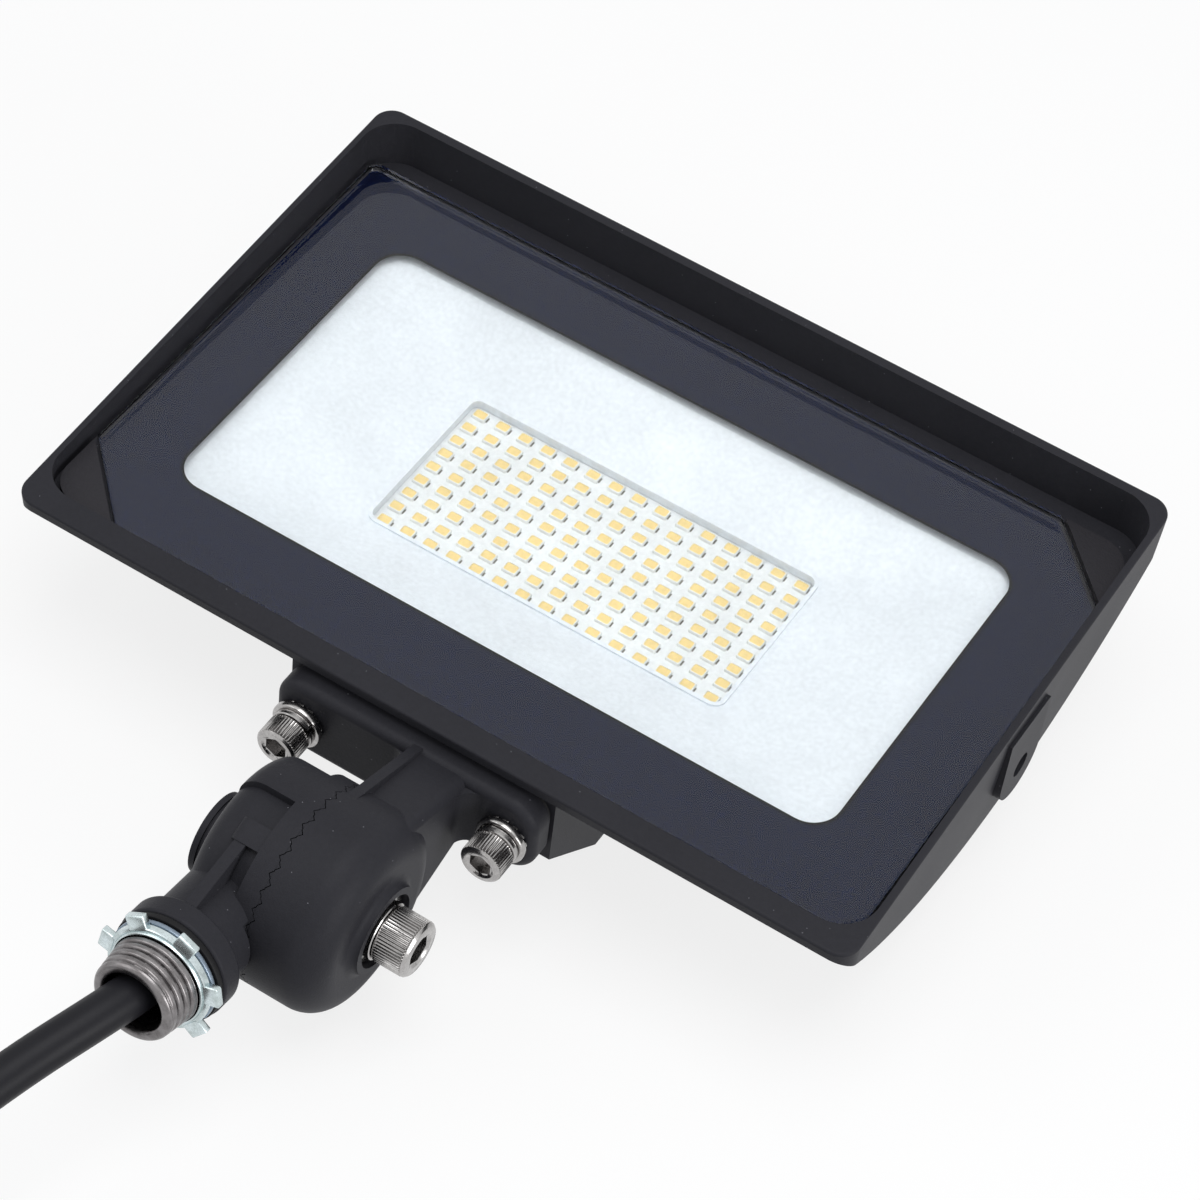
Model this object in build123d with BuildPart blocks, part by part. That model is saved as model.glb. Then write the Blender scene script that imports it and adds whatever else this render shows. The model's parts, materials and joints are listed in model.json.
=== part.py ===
"""LED flood light on a serrated knuckle mount, lying on its finned back with the glass up.

X runs along the long side of the head, +Y from the knuckle to the hood, +Z out of the glass.
The origin lies on the floor under the middle of the lamp, its supply cord left out.
Millimetres throughout.
"""
from build123d import *
import os
from math import atan, cos, pi, radians, sin, sqrt, tan

os.makedirs("parts", exist_ok=True)

# Cast head: outline of the rim, seen along the light
head_length = 211.0
head_depth = 144.0
head_corner = 5.0
rim_low = 45.0            # height of the rim over the back, beside the knuckle
rim_high = 52.3           # the same at the hood, on the far side
side_draft = 3.0          # degrees
lip_height = 1.8          # straight band under the rim beside the knuckle
lip_step = 2.7            # how far the belly starts inside the rim there
hood_step = 3.0           # the same at the hood
hood_height = 14.3
belly_front = 40.1        # height of the belly's edge beside the knuckle
belly_centre_y = 1.2
belly_low = 15.0
cast_wall = 3.0
rim_soft = 0.7            # rounding of the rim's edges

# Driver box on the back
box_half = 33.5
box_setback = 3.5         # its knuckle face, inside the rim
box_sill = 18.5
box_slope = 21.5          # how far the foot starts behind the knuckle face
box_back_slope = 24.0
box_end_setback = 8.0
box_end_height = 22.0

# Cooling fins
fin_root = 23.5           # underside of the floor that carries the board
fin = 2.6
outer_slots = 6
box_slots = 6
box_slot_start = -16.0
fin_margin = 4.3          # side wall beside the outermost slot

# Glass well
side_rim = 1.7
front_rim = 6.2
hood_rim = 2.7
well_corner = 9.0
glass_top = 42.5
glass_thickness = 3.0
glass_side_gap = 1.4
glass_front_gap = 1.6
glass_hood_gap = 6.3
glass_clip = 19.0
glass_small_corner = 2.5
glass_round_corner = 8.0
cover_gap = 0.8
cover_drop = 0.4
land_gap = 0.1            # bedding under the glass edge

# Gasket, reflector and light engine
gasket_inset = 4.0
gasket_corner = 26.0
gasket_width = 5.0
gasket_thickness = 2.0
fit_play = 0.25           # round the gasket and the reflector, each side
seat_margin = 1.5
seat_gap = 0.3
flange_thickness = 1.2
border_side = 18.8        # printed border of the glass beside the window
border_end = 20.0
window_corner = 7.0
shell = 1.2
opening_margin = 0.65     # from the outermost chips' cells to the opening
opening_corner = 3.0
opening_lip = 0.9
opening_rise = 0.6
opening_height = 31.0
reflector_gap = 0.2       # over the board
chamber_side = 16.5       # rim to chamber, at the sides
chamber_end = 20.0
board_floor = 27.5
board_margin = 9.5        # board round the opening
board_thickness = 1.6
chip_columns = 15
chip_rows = 9
chip_pitch_x = 6.10
chip_pitch_y = 4.87
chip_length = 3.5
chip_width = 2.8
chip_height = 0.9
board_screw_inset = 2.5
m3 = 3.0
m3_head = 5.6
m3_head_height = 1.3

# Driver compartment
bay_wall = 5.5
bay_setback = 14.5        # from the box's knuckle face
bay_depth = 32.0
bay_floor = 4.0
bay_slope = 10.0
bay_slope_height = 8.0
driver_margin = 4.0       # between the driver and the bay's sides
driver_depth = 18.0
driver_height = 20.0
driver_setback = 34.5     # from the box's knuckle face
lead_radius = 0.8
lead_spacing = 8.0

# Side bosses for an accessory, M6
pad_centre_y = 5.8
pad_half = 8.75
pad_rise = 0.7
pad_height = 29.0
pad_top = 44.0
m6 = 6.0
pad_hole_depth = 8.0

# Bracket plate, bolted on with two M6 socket screws
plate_length = 66.0
plate_height = 21.0
plate_thickness = 6.0
plate_corner = 7.0
plate_soft = 2.2
bracket_gasket_thickness = 1.0
bracket_gasket_inset = 0.5
bracket_screw_spacing = 52.0
m6_clearance = 6.6
m6_head = 10.0
m6_head_height = 6.0
m6_key = 5.0
m6_length = 18.4
tooth_washer = 0.8
tooth_washer_radius = 5.6
flat_washer = 1.6
flat_washer_radius = 6.0
spring_washer = 1.6
spring_washer_radius = 5.1
washer_split = 0.6

# Serrated knuckle
knuckle_gap = 35.0        # pivot to the plate
pivot_height = 29.2
joint_radius = 23.5
tooth_count = 36
tooth_depth = 0.875       # each side of the parting plane, at the rim
parting_gap = 0.1
cup_width = 17.5
cup_round = 8.0
cup_boss = 10.4
cup_boss_rise = 2.0
cup_recess = 8.7
cup_recess_depth = 1.0
wire_room_outer = 16.0
wire_room_inner = 7.0
cup_room_depth = 8.0
arm_near = 1.2
arm_far = 15.4
arm_top = 17.6            # half height of the arm where it leaves the cup
arm_root = 12.8
arm_end = 9.2             # half height inside the plate
arm_sink = 3.0
arm_soft = 2.5
arm_flare = 3.8           # concave blend of the arm's sides onto the plate
rib_width = 2.3
rib_root = 11.0
rib_top = 20.7
rib_end = 10.0
wire_bore = 9.0
wire_bore_x = 9.3

# Clamp screw, M8 x 45, with its washers and nut
m8 = 8.0
m8_clearance = 8.6
m8_head = 13.0
m8_head_height = 8.0
m8_key = 6.0
m8_length = 45.0
running_gap = 0.05
m8_flat_washer = 1.5
m8_flat_washer_radius = 8.4
m8_spring_washer = 2.0
m8_spring_washer_radius = 6.7
m8_nut = 13.0
m8_nut_height = 6.5
nut_sunk = 6.6
nut_play = 0.1

# Fixed half of the knuckle
flange_width = 5.0
barrel_radius = 21.5
barrel_width = 19.0
barrel_round = 7.0
stub_radius = 9.5
stub_width = 4.6
stub_ridge = 0.8
stub_groove = 0.5
base_room_depth = 12.0
lug_inner = 17.0
lugs = (                  # raised lugs: from and to, degrees up from the arm; width; end rounding; radius
    (52.0, 86.0, 18.6, 7.0, 23.5),
    (106.0, 119.0, 12.2, 2.0, 23.3),
)
neck_angle = 10.0         # one tooth up from straight
neck_x = -8.8
neck_near = 0.6
neck_radius = 11.0
neck_start = 10.0
neck_clear = 24.2         # where the neck is clear of the turning cup
neck_bore = 12.0
neck_rib_x = -8.2
neck_rib = 2.7
neck_rib_start = 11.0
neck_rib_top = 20.2
collar_radius = 13.3
collar_start = 30.8
collar_end = 36.3
collar_soft = 0.8

# Conduit nipple, 1/2 inch pipe size, with its locknut
nipple_radius = 10.45
nipple_shank = 10.0       # below the free thread, in the collar and the nut
nipple_bore = 7.0
nipple_start = 24.5
nipple_end = 50.0
seal_thickness = 1.6
seal_radius = 13.0
locknut_thickness = 3.4
locknut_radius = 12.6
locknut_lug = 15.0
locknut_lugs = 8
locknut_gap = 0.1
locknut_running = 0.07
free_gap = 0.4            # between the locknut and the free thread

# Supply cord
cord = 9.3
cord_start = 31.0         # along the nipple, from the pivot
grommet_length = 5.0
cord_play = 0.05
coil_radii = [62.0, 57.0, 52.0, 46.5]
conductor = 2.4
conductor_spacing = 2.7
conductor_lead = 1.5
conductor_bend = 11.0
conductor_tail = 14.0

# Frame
neck = radians(neck_angle)
box_face = head_depth / 2 - box_setback
plate_back = box_face + bracket_gasket_thickness
plate_front = plate_back + plate_thickness
pivot_reach = plate_front + knuckle_gap
lamp_back = nipple_end * cos(neck) + nipple_radius * sin(neck) + pivot_reach
head_y = (lamp_back - head_depth / 2) / 2
pivot_y = head_y - pivot_reach
rim_middle = (rim_low + rim_high) / 2
rim_tilt = atan((rim_high - rim_low) / head_depth)
rim = Plane(origin=(0, head_y, rim_middle), x_dir=(1, 0, 0), z_dir=(0, -sin(rim_tilt), cos(rim_tilt)))
middle = Plane(origin=(0, head_y, 0), x_dir=(0, 1, 0), z_dir=(1, 0, 0))
pivot = Plane(origin=(0, pivot_y, pivot_height), x_dir=(1, 0, 0), z_dir=(0, -1, 0))
pivot_side = Plane(origin=(0, pivot_y, pivot_height), x_dir=(0, 1, 0), z_dir=(1, 0, 0))
pivot_axis = Axis((0, pivot_y, pivot_height), (1, 0, 0))
nipple_plane = Plane(origin=(neck_x, pivot_y, pivot_height), x_dir=(1, 0, 0), z_dir=(0, -cos(neck), sin(neck)))


belly_rise = belly_front - belly_low
belly_chord = head_depth / 2 - lip_step + belly_centre_y
belly_radius = (belly_chord**2 + belly_rise**2) / (2 * belly_rise)


def level(height, y=0.0):
    """Horizontal plane at a height, centred on the head."""
    return Plane.XY.offset(height).move(Location((0, head_y + y, 0)))


def upright(y):
    """Plane facing the knuckle, at a distance from the middle of the head and on the pivot's height."""
    return Plane(origin=(0, head_y + y, pivot_height), x_dir=(1, 0, 0), z_dir=(0, -1, 0))


def belly(y):
    """Height of the underside of the head, at a distance from its middle."""
    return belly_low + belly_radius - sqrt(belly_radius**2 - (y - belly_centre_y) ** 2)


glass_half = head_length / 2 - side_rim - glass_side_gap
glass_front = -head_depth / 2 + front_rim + glass_front_gap
glass_back = head_depth / 2 - hood_rim - glass_hood_gap
glass_middle = (glass_front + glass_back) / 2
glass_depth = glass_back - glass_front
well_floor = glass_top - glass_thickness - land_gap
gasket_floor = glass_top - glass_thickness - gasket_thickness
gasket_length = 2 * (glass_half - gasket_inset)
gasket_depth = glass_depth - 2 * gasket_inset
seat_floor = gasket_floor - seat_gap - flange_thickness
flange_top = seat_floor + flange_thickness
seat_length = gasket_length - 2 * gasket_width - 2 * seat_margin
seat_depth = gasket_depth - 2 * gasket_width - 2 * seat_margin
seat_corner = gasket_corner - gasket_width
window_length = 2 * (glass_half - border_side)
window_depth = glass_depth - 2 * border_end
opening_length = chip_columns * chip_pitch_x + 2 * opening_margin
opening_depth = chip_rows * chip_pitch_y + 2 * opening_margin
chamber_length = head_length - 2 * chamber_side
chamber_depth = head_depth - 2 * chamber_end
board_length = opening_length + 2 * board_margin
board_depth = opening_depth + 2 * board_margin
board_top = board_floor + board_thickness
board_screw_x = board_length / 2 - board_screw_inset
board_screw_y = board_depth / 2 - board_screw_inset
bay_half = box_half - bay_wall
bay_front = -box_face + bay_setback
bay_back = bay_front + bay_depth
driver_length = 2 * (bay_half - driver_margin)
driver_y = -box_face + driver_setback
pad_face = head_length / 2 + pad_rise
nut_start = barrel_width + stub_width - nut_sunk
cup_seat = cup_width - cup_recess_depth
half_pitch = 180 / tooth_count
locknut_start = collar_end + seal_thickness + locknut_gap
nipple_free = locknut_start + locknut_thickness + free_gap

# Cast aluminium housing
with BuildPart() as housing:
    # Rim outline drawn down with draft, then cut to the curved side profile
    with BuildSketch(rim):
        RectangleRounded(head_length, head_depth / cos(rim_tilt), head_corner)
    extrude(amount=-rim_high, taper=side_draft)
    front_in = -head_depth / 2 + lip_step
    back_in = head_depth / 2 - hood_step
    with BuildSketch(middle):
        with BuildLine():
            Polyline(
                (front_in, belly(front_in)),
                (-head_depth / 2 - 1, rim_low - lip_height),
                (-head_depth / 2 - 1, rim_low + 20),
                (head_depth / 2 + 1, rim_high + 20),
                (head_depth / 2 + 1, rim_high - 1),
                (back_in, rim_high - hood_height),
            )
            ThreePointArc(
                (back_in, rim_high - hood_height),
                (belly_centre_y, belly_low),
                (front_in, belly(front_in)),
            )
        make_face()
    extrude(amount=head_length, both=True, mode=Mode.INTERSECT)
    # Driver box, which carries the bracket and is what the lamp lies on
    box_end = head_depth / 2 - box_end_setback
    with BuildSketch(middle):
        Polygon(
            (-box_face, belly(-box_face) + 1),
            (-box_face, box_sill),
            (-box_face + box_slope, 0),
            (box_end - box_back_slope, 0),
            (box_end, box_end_height),
            (box_end, belly(box_end) + 1),
            align=None,
        )
    extrude(amount=box_half, both=True)
    # Pads for the side bosses
    for side in (-1, 1):
        with BuildSketch(Plane.YZ.offset(side * pad_face)):
            with Locations((head_y + pad_centre_y, pad_height)):
                Circle(pad_half)
            with Locations((head_y + pad_centre_y, (pad_height + pad_top) / 2)):
                Rectangle(2 * pad_half, pad_top - pad_height)
        extrude(amount=-side * 8)
    # Glass well, gasket land, reflector seat and chamber
    well_front = -head_depth / 2 + front_rim
    well_back = head_depth / 2 - hood_rim
    with BuildSketch(level(well_floor, (well_front + well_back) / 2)):
        RectangleRounded(head_length - 2 * side_rim, well_back - well_front, well_corner)
    extrude(amount=rim_high, mode=Mode.SUBTRACT)
    fillet(faces().sort_by(Axis.Z)[-1].edges(), rim_soft)
    with BuildSketch(level(gasket_floor, glass_middle)):
        RectangleRounded(gasket_length + 2 * fit_play, gasket_depth + 2 * fit_play, gasket_corner)
    extrude(amount=rim_high, mode=Mode.SUBTRACT)
    with BuildSketch(level(seat_floor, glass_middle)):
        RectangleRounded(seat_length + 2 * fit_play, seat_depth + 2 * fit_play, seat_corner)
    extrude(amount=rim_high, mode=Mode.SUBTRACT)
    half = chamber_depth / 2
    foot = half - 2 * cast_wall
    with BuildSketch(middle):
        Polygon(
            (-half, seat_floor + 1),
            (-half, belly(-half) + cast_wall),
            (-foot, board_floor),
            (foot, board_floor),
            (half, belly(half) + cast_wall + 1),
            (half, seat_floor + 1),
            align=None,
        )
    extrude(amount=chamber_length / 2, both=True, mode=Mode.SUBTRACT)
    # Driver bay under the board
    with BuildSketch(middle):
        Polygon(
            (bay_front, board_floor + 4),
            (bay_front, bay_floor + bay_slope_height),
            (bay_front + bay_slope, bay_floor),
            (bay_back, bay_floor),
            (bay_back, board_floor + 4),
            align=None,
        )
    extrude(amount=bay_half, both=True, mode=Mode.SUBTRACT)
    # Fins: slots cut up to the floor, in the flanks and in the back of the driver box
    flank = head_length / 2 - fin_margin - box_half
    slot = (flank - (outer_slots - 1) * fin) / outer_slots
    with BuildSketch(level(fin_root)):
        for side in (-1, 1):
            with Locations((side * (box_half + flank / 2), 0)):
                with GridLocations(slot + fin, 0, outer_slots, 1):
                    Rectangle(slot, 2 * head_depth)
    extrude(amount=-fin_root, mode=Mode.SUBTRACT)
    box_slot = (2 * box_half - (box_slots + 1) * fin) / box_slots
    with BuildSketch(level(fin_root, box_slot_start)):
        with Locations((0, head_depth / 2)):
            with GridLocations(box_slot + fin, 0, box_slots, 1):
                Rectangle(box_slot, head_depth)
    extrude(amount=-fin_root, mode=Mode.SUBTRACT)
    # Wire entry and tapped holes
    with BuildSketch(upright(-box_face)):
        with Locations((wire_bore_x, 0)):
            Circle(wire_bore / 2)
    extrude(amount=-(box_face + bay_front + 2), mode=Mode.SUBTRACT)
    with BuildSketch(upright(-box_face)):
        with GridLocations(bracket_screw_spacing, 0, 2, 1):
            Circle(m6 / 2)
    extrude(amount=-(box_face + bay_front - cast_wall + 1), mode=Mode.SUBTRACT)
    for side in (-1, 1):
        with BuildSketch(Plane.YZ.offset(side * pad_face)):
            with Locations((head_y + pad_centre_y, pad_height)):
                Circle(m6 / 2)
        extrude(amount=-side * pad_hole_depth, mode=Mode.SUBTRACT)
    with BuildSketch(level(board_floor)):
        with GridLocations(2 * board_screw_x, 2 * board_screw_y, 2, 2):
            Circle(m3 / 2)
    extrude(amount=-cast_wall, mode=Mode.SUBTRACT)
housing.part.label = "housing"
export_step(housing.part, "parts/housing.step")

# Tempered glass with two clipped corners
with BuildPart() as glass_lens:
    with BuildSketch(level(glass_top - glass_thickness, glass_middle)):
        Rectangle(2 * glass_half, glass_depth)
        near, far = vertices().group_by(Axis.Y)
        chamfer([near.sort_by(Axis.X)[0], far.sort_by(Axis.X)[-1]], glass_clip)
        fillet(vertices().group_by(Axis.Y)[-1].sort_by(Axis.X)[0], glass_small_corner)
        fillet(vertices().group_by(Axis.Y)[0].sort_by(Axis.X)[-1], glass_round_corner)
    extrude(amount=glass_thickness)
glass_lens.part.label = "glass_lens"
export_step(glass_lens.part, "parts/glass_lens.step")

# Corner covers that fill the clipped corners of the glass
for name, side in (("corner_cover_left", -1), ("corner_cover_right", 1)):
    with BuildPart() as cover:
        with BuildSketch(level(well_floor, glass_middle)):
            leg = glass_clip - cover_gap * sqrt(2)
            x, y = side * glass_half, side * glass_depth / 2
            Polygon((x, y), (x - side * leg, y), (x, y - side * leg), align=None)
            fillet(vertices().sort_by(Axis((0, 0, 0), (side, side, 0)))[-1], glass_round_corner)
        extrude(amount=glass_top - cover_drop - well_floor)
    cover.part.label = name
    export_step(cover.part, f"parts/{name}.step")

# Silicone gasket under the glass
with BuildPart() as glass_gasket:
    with BuildSketch(level(gasket_floor, glass_middle)):
        RectangleRounded(gasket_length, gasket_depth, gasket_corner)
        offset(amount=-gasket_width, mode=Mode.SUBTRACT)
    extrude(amount=gasket_thickness)
glass_gasket.part.label = "glass_gasket"
export_step(glass_gasket.part, "parts/glass_gasket.step")

# White reflector: flat flange, shallow funnel and a raised lip round the light source
with BuildPart() as reflector:
    with BuildSketch(level(seat_floor, glass_middle)):
        RectangleRounded(seat_length, seat_depth, seat_corner)
    extrude(amount=flange_thickness)
    with BuildSketch(level(flange_top)):
        RectangleRounded(window_length + 2 * shell, window_depth + 2 * shell, window_corner + shell)
    with BuildSketch(level(opening_height - shell)):
        RectangleRounded(opening_length, opening_depth, opening_corner)
    loft()
    with BuildSketch(level(board_top + reflector_gap)):
        RectangleRounded(opening_length, opening_depth, opening_corner)
    extrude(amount=opening_height - board_top - reflector_gap)
    with BuildSketch(level(flange_top + 0.01)):
        RectangleRounded(window_length, window_depth, window_corner)
    with BuildSketch(level(opening_height)):
        RectangleRounded(opening_length, opening_depth, opening_corner)
    loft(mode=Mode.SUBTRACT)
    with BuildSketch(level(board_top + reflector_gap)):
        RectangleRounded(opening_length, opening_depth, opening_corner)
    extrude(amount=opening_height + opening_rise - board_top - reflector_gap)
    with BuildSketch(level(board_top + reflector_gap)):
        RectangleRounded(
            opening_length - 2 * opening_lip,
            opening_depth - 2 * opening_lip,
            opening_corner - opening_lip,
        )
    extrude(amount=rim_high, mode=Mode.SUBTRACT)
reflector.part.label = "reflector"
export_step(reflector.part, "parts/reflector.step")

# Metal-core board with its grid of chips
with BuildPart() as led_board:
    with BuildSketch(level(board_floor)):
        Rectangle(board_length, board_depth)
        with GridLocations(2 * board_screw_x, 2 * board_screw_y, 2, 2):
            Circle(m3 / 2 + 0.2, mode=Mode.SUBTRACT)
    extrude(amount=board_thickness)
led_board.part.label = "led_board"
export_step(led_board.part, "parts/led_board.step")

with BuildPart() as led_chips:
    with BuildSketch(level(board_top)):
        with GridLocations(chip_pitch_x, chip_pitch_y, chip_columns, chip_rows):
            Rectangle(chip_length, chip_width)
    extrude(amount=chip_height)
led_chips.part.label = "led_chips"
export_step(led_chips.part, "parts/led_chips.step")

with BuildPart() as board_screws:
    with BuildSketch(level(board_top)):
        with GridLocations(2 * board_screw_x, 2 * board_screw_y, 2, 2):
            Circle(m3_head / 2)
    extrude(amount=m3_head_height)
    with BuildSketch(level(board_top)):
        with GridLocations(2 * board_screw_x, 2 * board_screw_y, 2, 2):
            Circle(m3 / 2)
    extrude(amount=-board_thickness - cast_wall)
board_screws.part.label = "board_screws"
export_step(board_screws.part, "parts/board_screws.step")

# Driver in its bay, with two leads up to the board
with BuildPart() as driver:
    with BuildSketch(level(bay_floor, driver_y)):
        RectangleRounded(driver_length, driver_depth, 2)
    extrude(amount=driver_height)
driver.part.label = "driver"
export_step(driver.part, "parts/driver.step")

with BuildPart() as led_wires:
    for x in (-lead_spacing / 2, lead_spacing / 2):
        lead_y = head_y + driver_y
        start = (x, lead_y, bay_floor + driver_height)
        bend = (x, lead_y, board_top + lead_radius)
        end = (x, head_y - board_depth / 2 + 3, board_top + lead_radius)
        with BuildLine():
            route = FilletPolyline(start, bend, end, radius=2 * lead_radius)
        with BuildSketch(Plane(origin=start, z_dir=(0, 0, 1))):
            Circle(lead_radius)
        sweep(path=route)
led_wires.part.label = "led_wires"
export_step(led_wires.part, "parts/led_wires.step")

# Bracket gasket and the screws with their stacks of washers
with BuildPart() as bracket_gasket:
    with BuildSketch(upright(-box_face)):
        RectangleRounded(
            plate_length - 2 * bracket_gasket_inset,
            plate_height - 2 * bracket_gasket_inset,
            plate_corner - bracket_gasket_inset,
        )
        with GridLocations(bracket_screw_spacing, 0, 2, 1):
            Circle(m6_clearance / 2, mode=Mode.SUBTRACT)
        with Locations((wire_bore_x, 0)):
            Circle(wire_bore / 2, mode=Mode.SUBTRACT)
    extrude(amount=bracket_gasket_thickness)
bracket_gasket.part.label = "bracket_gasket"
export_step(bracket_gasket.part, "parts/bracket_gasket.step")

stack = plate_front
with BuildPart() as bracket_tooth_washers:
    with BuildSketch(upright(-stack)):
        with GridLocations(bracket_screw_spacing, 0, 2, 1):
            Circle(tooth_washer_radius)
            Circle(m6_clearance / 2, mode=Mode.SUBTRACT)
    extrude(amount=tooth_washer)
bracket_tooth_washers.part.label = "bracket_tooth_washers"
export_step(bracket_tooth_washers.part, "parts/bracket_tooth_washers.step")

stack += tooth_washer
with BuildPart() as bracket_flat_washers:
    with BuildSketch(upright(-stack)):
        with GridLocations(bracket_screw_spacing, 0, 2, 1):
            Circle(flat_washer_radius)
            Circle(m6_clearance / 2, mode=Mode.SUBTRACT)
    extrude(amount=flat_washer)
bracket_flat_washers.part.label = "bracket_flat_washers"
export_step(bracket_flat_washers.part, "parts/bracket_flat_washers.step")

stack += flat_washer
with BuildPart() as bracket_spring_washers:
    with BuildSketch(upright(-stack)):
        with GridLocations(bracket_screw_spacing, 0, 2, 1):
            Circle(spring_washer_radius)
            Circle(m6_clearance / 2 - 0.2, mode=Mode.SUBTRACT)
            with Locations((0, spring_washer_radius)):
                Rectangle(washer_split, spring_washer_radius * 2 - m6, mode=Mode.SUBTRACT)
    extrude(amount=spring_washer)
bracket_spring_washers.part.label = "bracket_spring_washers"
export_step(bracket_spring_washers.part, "parts/bracket_spring_washers.step")

stack += spring_washer
with BuildPart() as bracket_screws:
    with BuildSketch(upright(-stack)):
        with GridLocations(bracket_screw_spacing, 0, 2, 1):
            Circle(m6_head / 2)
    extrude(amount=m6_head_height)
    chamfer(faces().group_by(Axis.Y)[0].edges(), 0.5)
    with BuildSketch(upright(-stack - m6_head_height)):
        with GridLocations(bracket_screw_spacing, 0, 2, 1):
            RegularPolygon(m6_key / 2, 6, major_radius=False)
    extrude(amount=-m6_head_height / 2, mode=Mode.SUBTRACT)
    with BuildSketch(upright(-stack)):
        with GridLocations(bracket_screw_spacing, 0, 2, 1):
            Circle(m6 / 2)
    extrude(amount=-m6_length)
bracket_screws.part.label = "bracket_screws"
export_step(bracket_screws.part, "parts/bracket_screws.step")

# Radial V groove between two teeth, its flanks running to the pivot
with BuildPart() as groove:
    for radius in (wire_room_outer - 2, joint_radius + 1):
        depth = tooth_depth * radius / joint_radius
        width = radius * tan(radians(half_pitch / 2))
        with BuildSketch(Plane(origin=(0, pivot_y, pivot_height + radius))):
            Polygon((depth, 0), (-depth, 2 * width), (-depth, -2 * width), align=None)
    loft()

# Bracket plate with a soft front border
with BuildPart() as plate:
    with BuildSketch(upright(-plate_front)):
        RectangleRounded(plate_length, plate_height, plate_corner)
    extrude(amount=-plate_thickness)
    fillet(faces().sort_by(Axis.Y)[0].edges(), plate_soft)

# Arm with soft outer edges
with BuildPart() as arm:
    with BuildSketch(pivot_side.offset(arm_near)):
        Polygon(
            (0, arm_top),
            (arm_root, arm_top),
            (knuckle_gap + arm_sink, arm_end),
            (knuckle_gap + arm_sink, -arm_end),
            (arm_root, -arm_top),
            (0, -arm_top),
            align=None,
        )
    extrude(amount=arm_far - arm_near)
    fillet(faces().sort_by(Axis.X)[-1].edges().filter_by(Axis.Z, reverse=True), arm_soft)

# Blends of the arm's sides onto the plate
with BuildPart() as flares:
    with BuildSketch(Plane(origin=(0, pivot_y, pivot_height))):
        for side, x in ((-1, arm_near), (1, arm_far)):
            tip = x + side * arm_flare
            bulge = arm_flare * (1 - sqrt(0.5))
            with BuildLine():
                Polyline(
                    (x, knuckle_gap - arm_flare),
                    (x - side, knuckle_gap - arm_flare),
                    (x - side, knuckle_gap + 1),
                    (tip, knuckle_gap + 1),
                    (tip, knuckle_gap),
                )
                ThreePointArc(
                    (tip, knuckle_gap),
                    (x + side * bulge, knuckle_gap - bulge),
                    (x, knuckle_gap - arm_flare),
                )
            make_face()
    flare_half = plate_height / 2 - plate_soft
    extrude(amount=flare_half, both=True)

# Moving half of the knuckle: plate, arm and serrated cup in one casting
with BuildPart() as knuckle_arm:
    add(arm.part)
    add(flares.part)
    # Rib along the upper edge of the arm
    with BuildSketch(pivot_side.offset(arm_near)):
        Polygon(
            (rib_root, rib_top),
            (knuckle_gap + arm_sink, rib_end),
            (knuckle_gap + arm_sink, 0),
            (rib_root, 0),
            align=None,
        )
    extrude(amount=rib_width)
    # Cup, turned about the pivot
    cup_end = cup_width + cup_boss_rise
    blend = cup_boss_rise * (1 - sqrt(0.5))
    with BuildSketch(pivot):
        with BuildLine():
            Polyline(
                (cup_end, cup_boss),
                (cup_end, cup_recess),
                (cup_seat, cup_recess),
                (cup_seat, 0),
                (parting_gap, 0),
                (parting_gap, joint_radius),
                (cup_width - cup_round, joint_radius),
            )
            RadiusArc(
                (cup_width - cup_round, joint_radius),
                (cup_width, joint_radius - cup_round),
                cup_round,
            )
            Line((cup_width, joint_radius - cup_round), (cup_width, cup_boss + cup_boss_rise))
            ThreePointArc(
                (cup_width, cup_boss + cup_boss_rise),
                (cup_width + blend, cup_boss + blend),
                (cup_end, cup_boss),
            )
        make_face()
    revolve(axis=pivot_axis)
    add(plate.part)
    # Wire room round the screw, wire bore to the head, screw holes
    with BuildSketch(pivot_side):
        Circle(wire_room_outer)
        Circle(wire_room_inner, mode=Mode.SUBTRACT)
    extrude(amount=cup_room_depth, mode=Mode.SUBTRACT)
    with BuildSketch(pivot_side):
        Circle(m8_clearance / 2)
    extrude(amount=cup_end, mode=Mode.SUBTRACT)
    with BuildSketch(upright(-plate_back)):
        with Locations((wire_bore_x, 0)):
            Circle(wire_bore / 2)
    extrude(amount=knuckle_gap + plate_thickness - wire_room_outer + 4, mode=Mode.SUBTRACT)
    with BuildSketch(upright(-plate_back)):
        with GridLocations(bracket_screw_spacing, 0, 2, 1):
            Circle(m6_clearance / 2)
    extrude(amount=plate_thickness, mode=Mode.SUBTRACT)
    # Teeth
    for tooth in range(tooth_count):
        add(groove.part.rotate(pivot_axis, 2 * half_pitch * tooth), mode=Mode.SUBTRACT)
knuckle_arm.part.label = "knuckle_arm"
export_step(knuckle_arm.part, "parts/knuckle_arm.step")

# Raised lugs on the barrel: rounded rings, each cut to its sector
lug_solids = []
for start, end, width, soft, radius in lugs:
    with BuildPart() as lug:
        with BuildSketch(pivot):
            with BuildLine():
                Polyline(
                    (-width, radius - soft),
                    (-width, lug_inner - 3),
                    (-flange_width + 1, lug_inner - 3),
                    (-flange_width + 1, radius),
                    (-width + soft, radius),
                )
                RadiusArc((-width + soft, radius), (-width, radius - soft), -soft)
            make_face()
        revolve(axis=pivot_axis)
        far = 2 * joint_radius
        with BuildSketch(pivot_side):
            Polygon(
                (0, 0),
                (far * cos(radians(start)), far * sin(radians(start))),
                (far * cos(radians(end)), far * sin(radians(end))),
                align=None,
            )
        extrude(amount=-barrel_width, mode=Mode.INTERSECT)
    lug_solids.append(lug.part)

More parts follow.
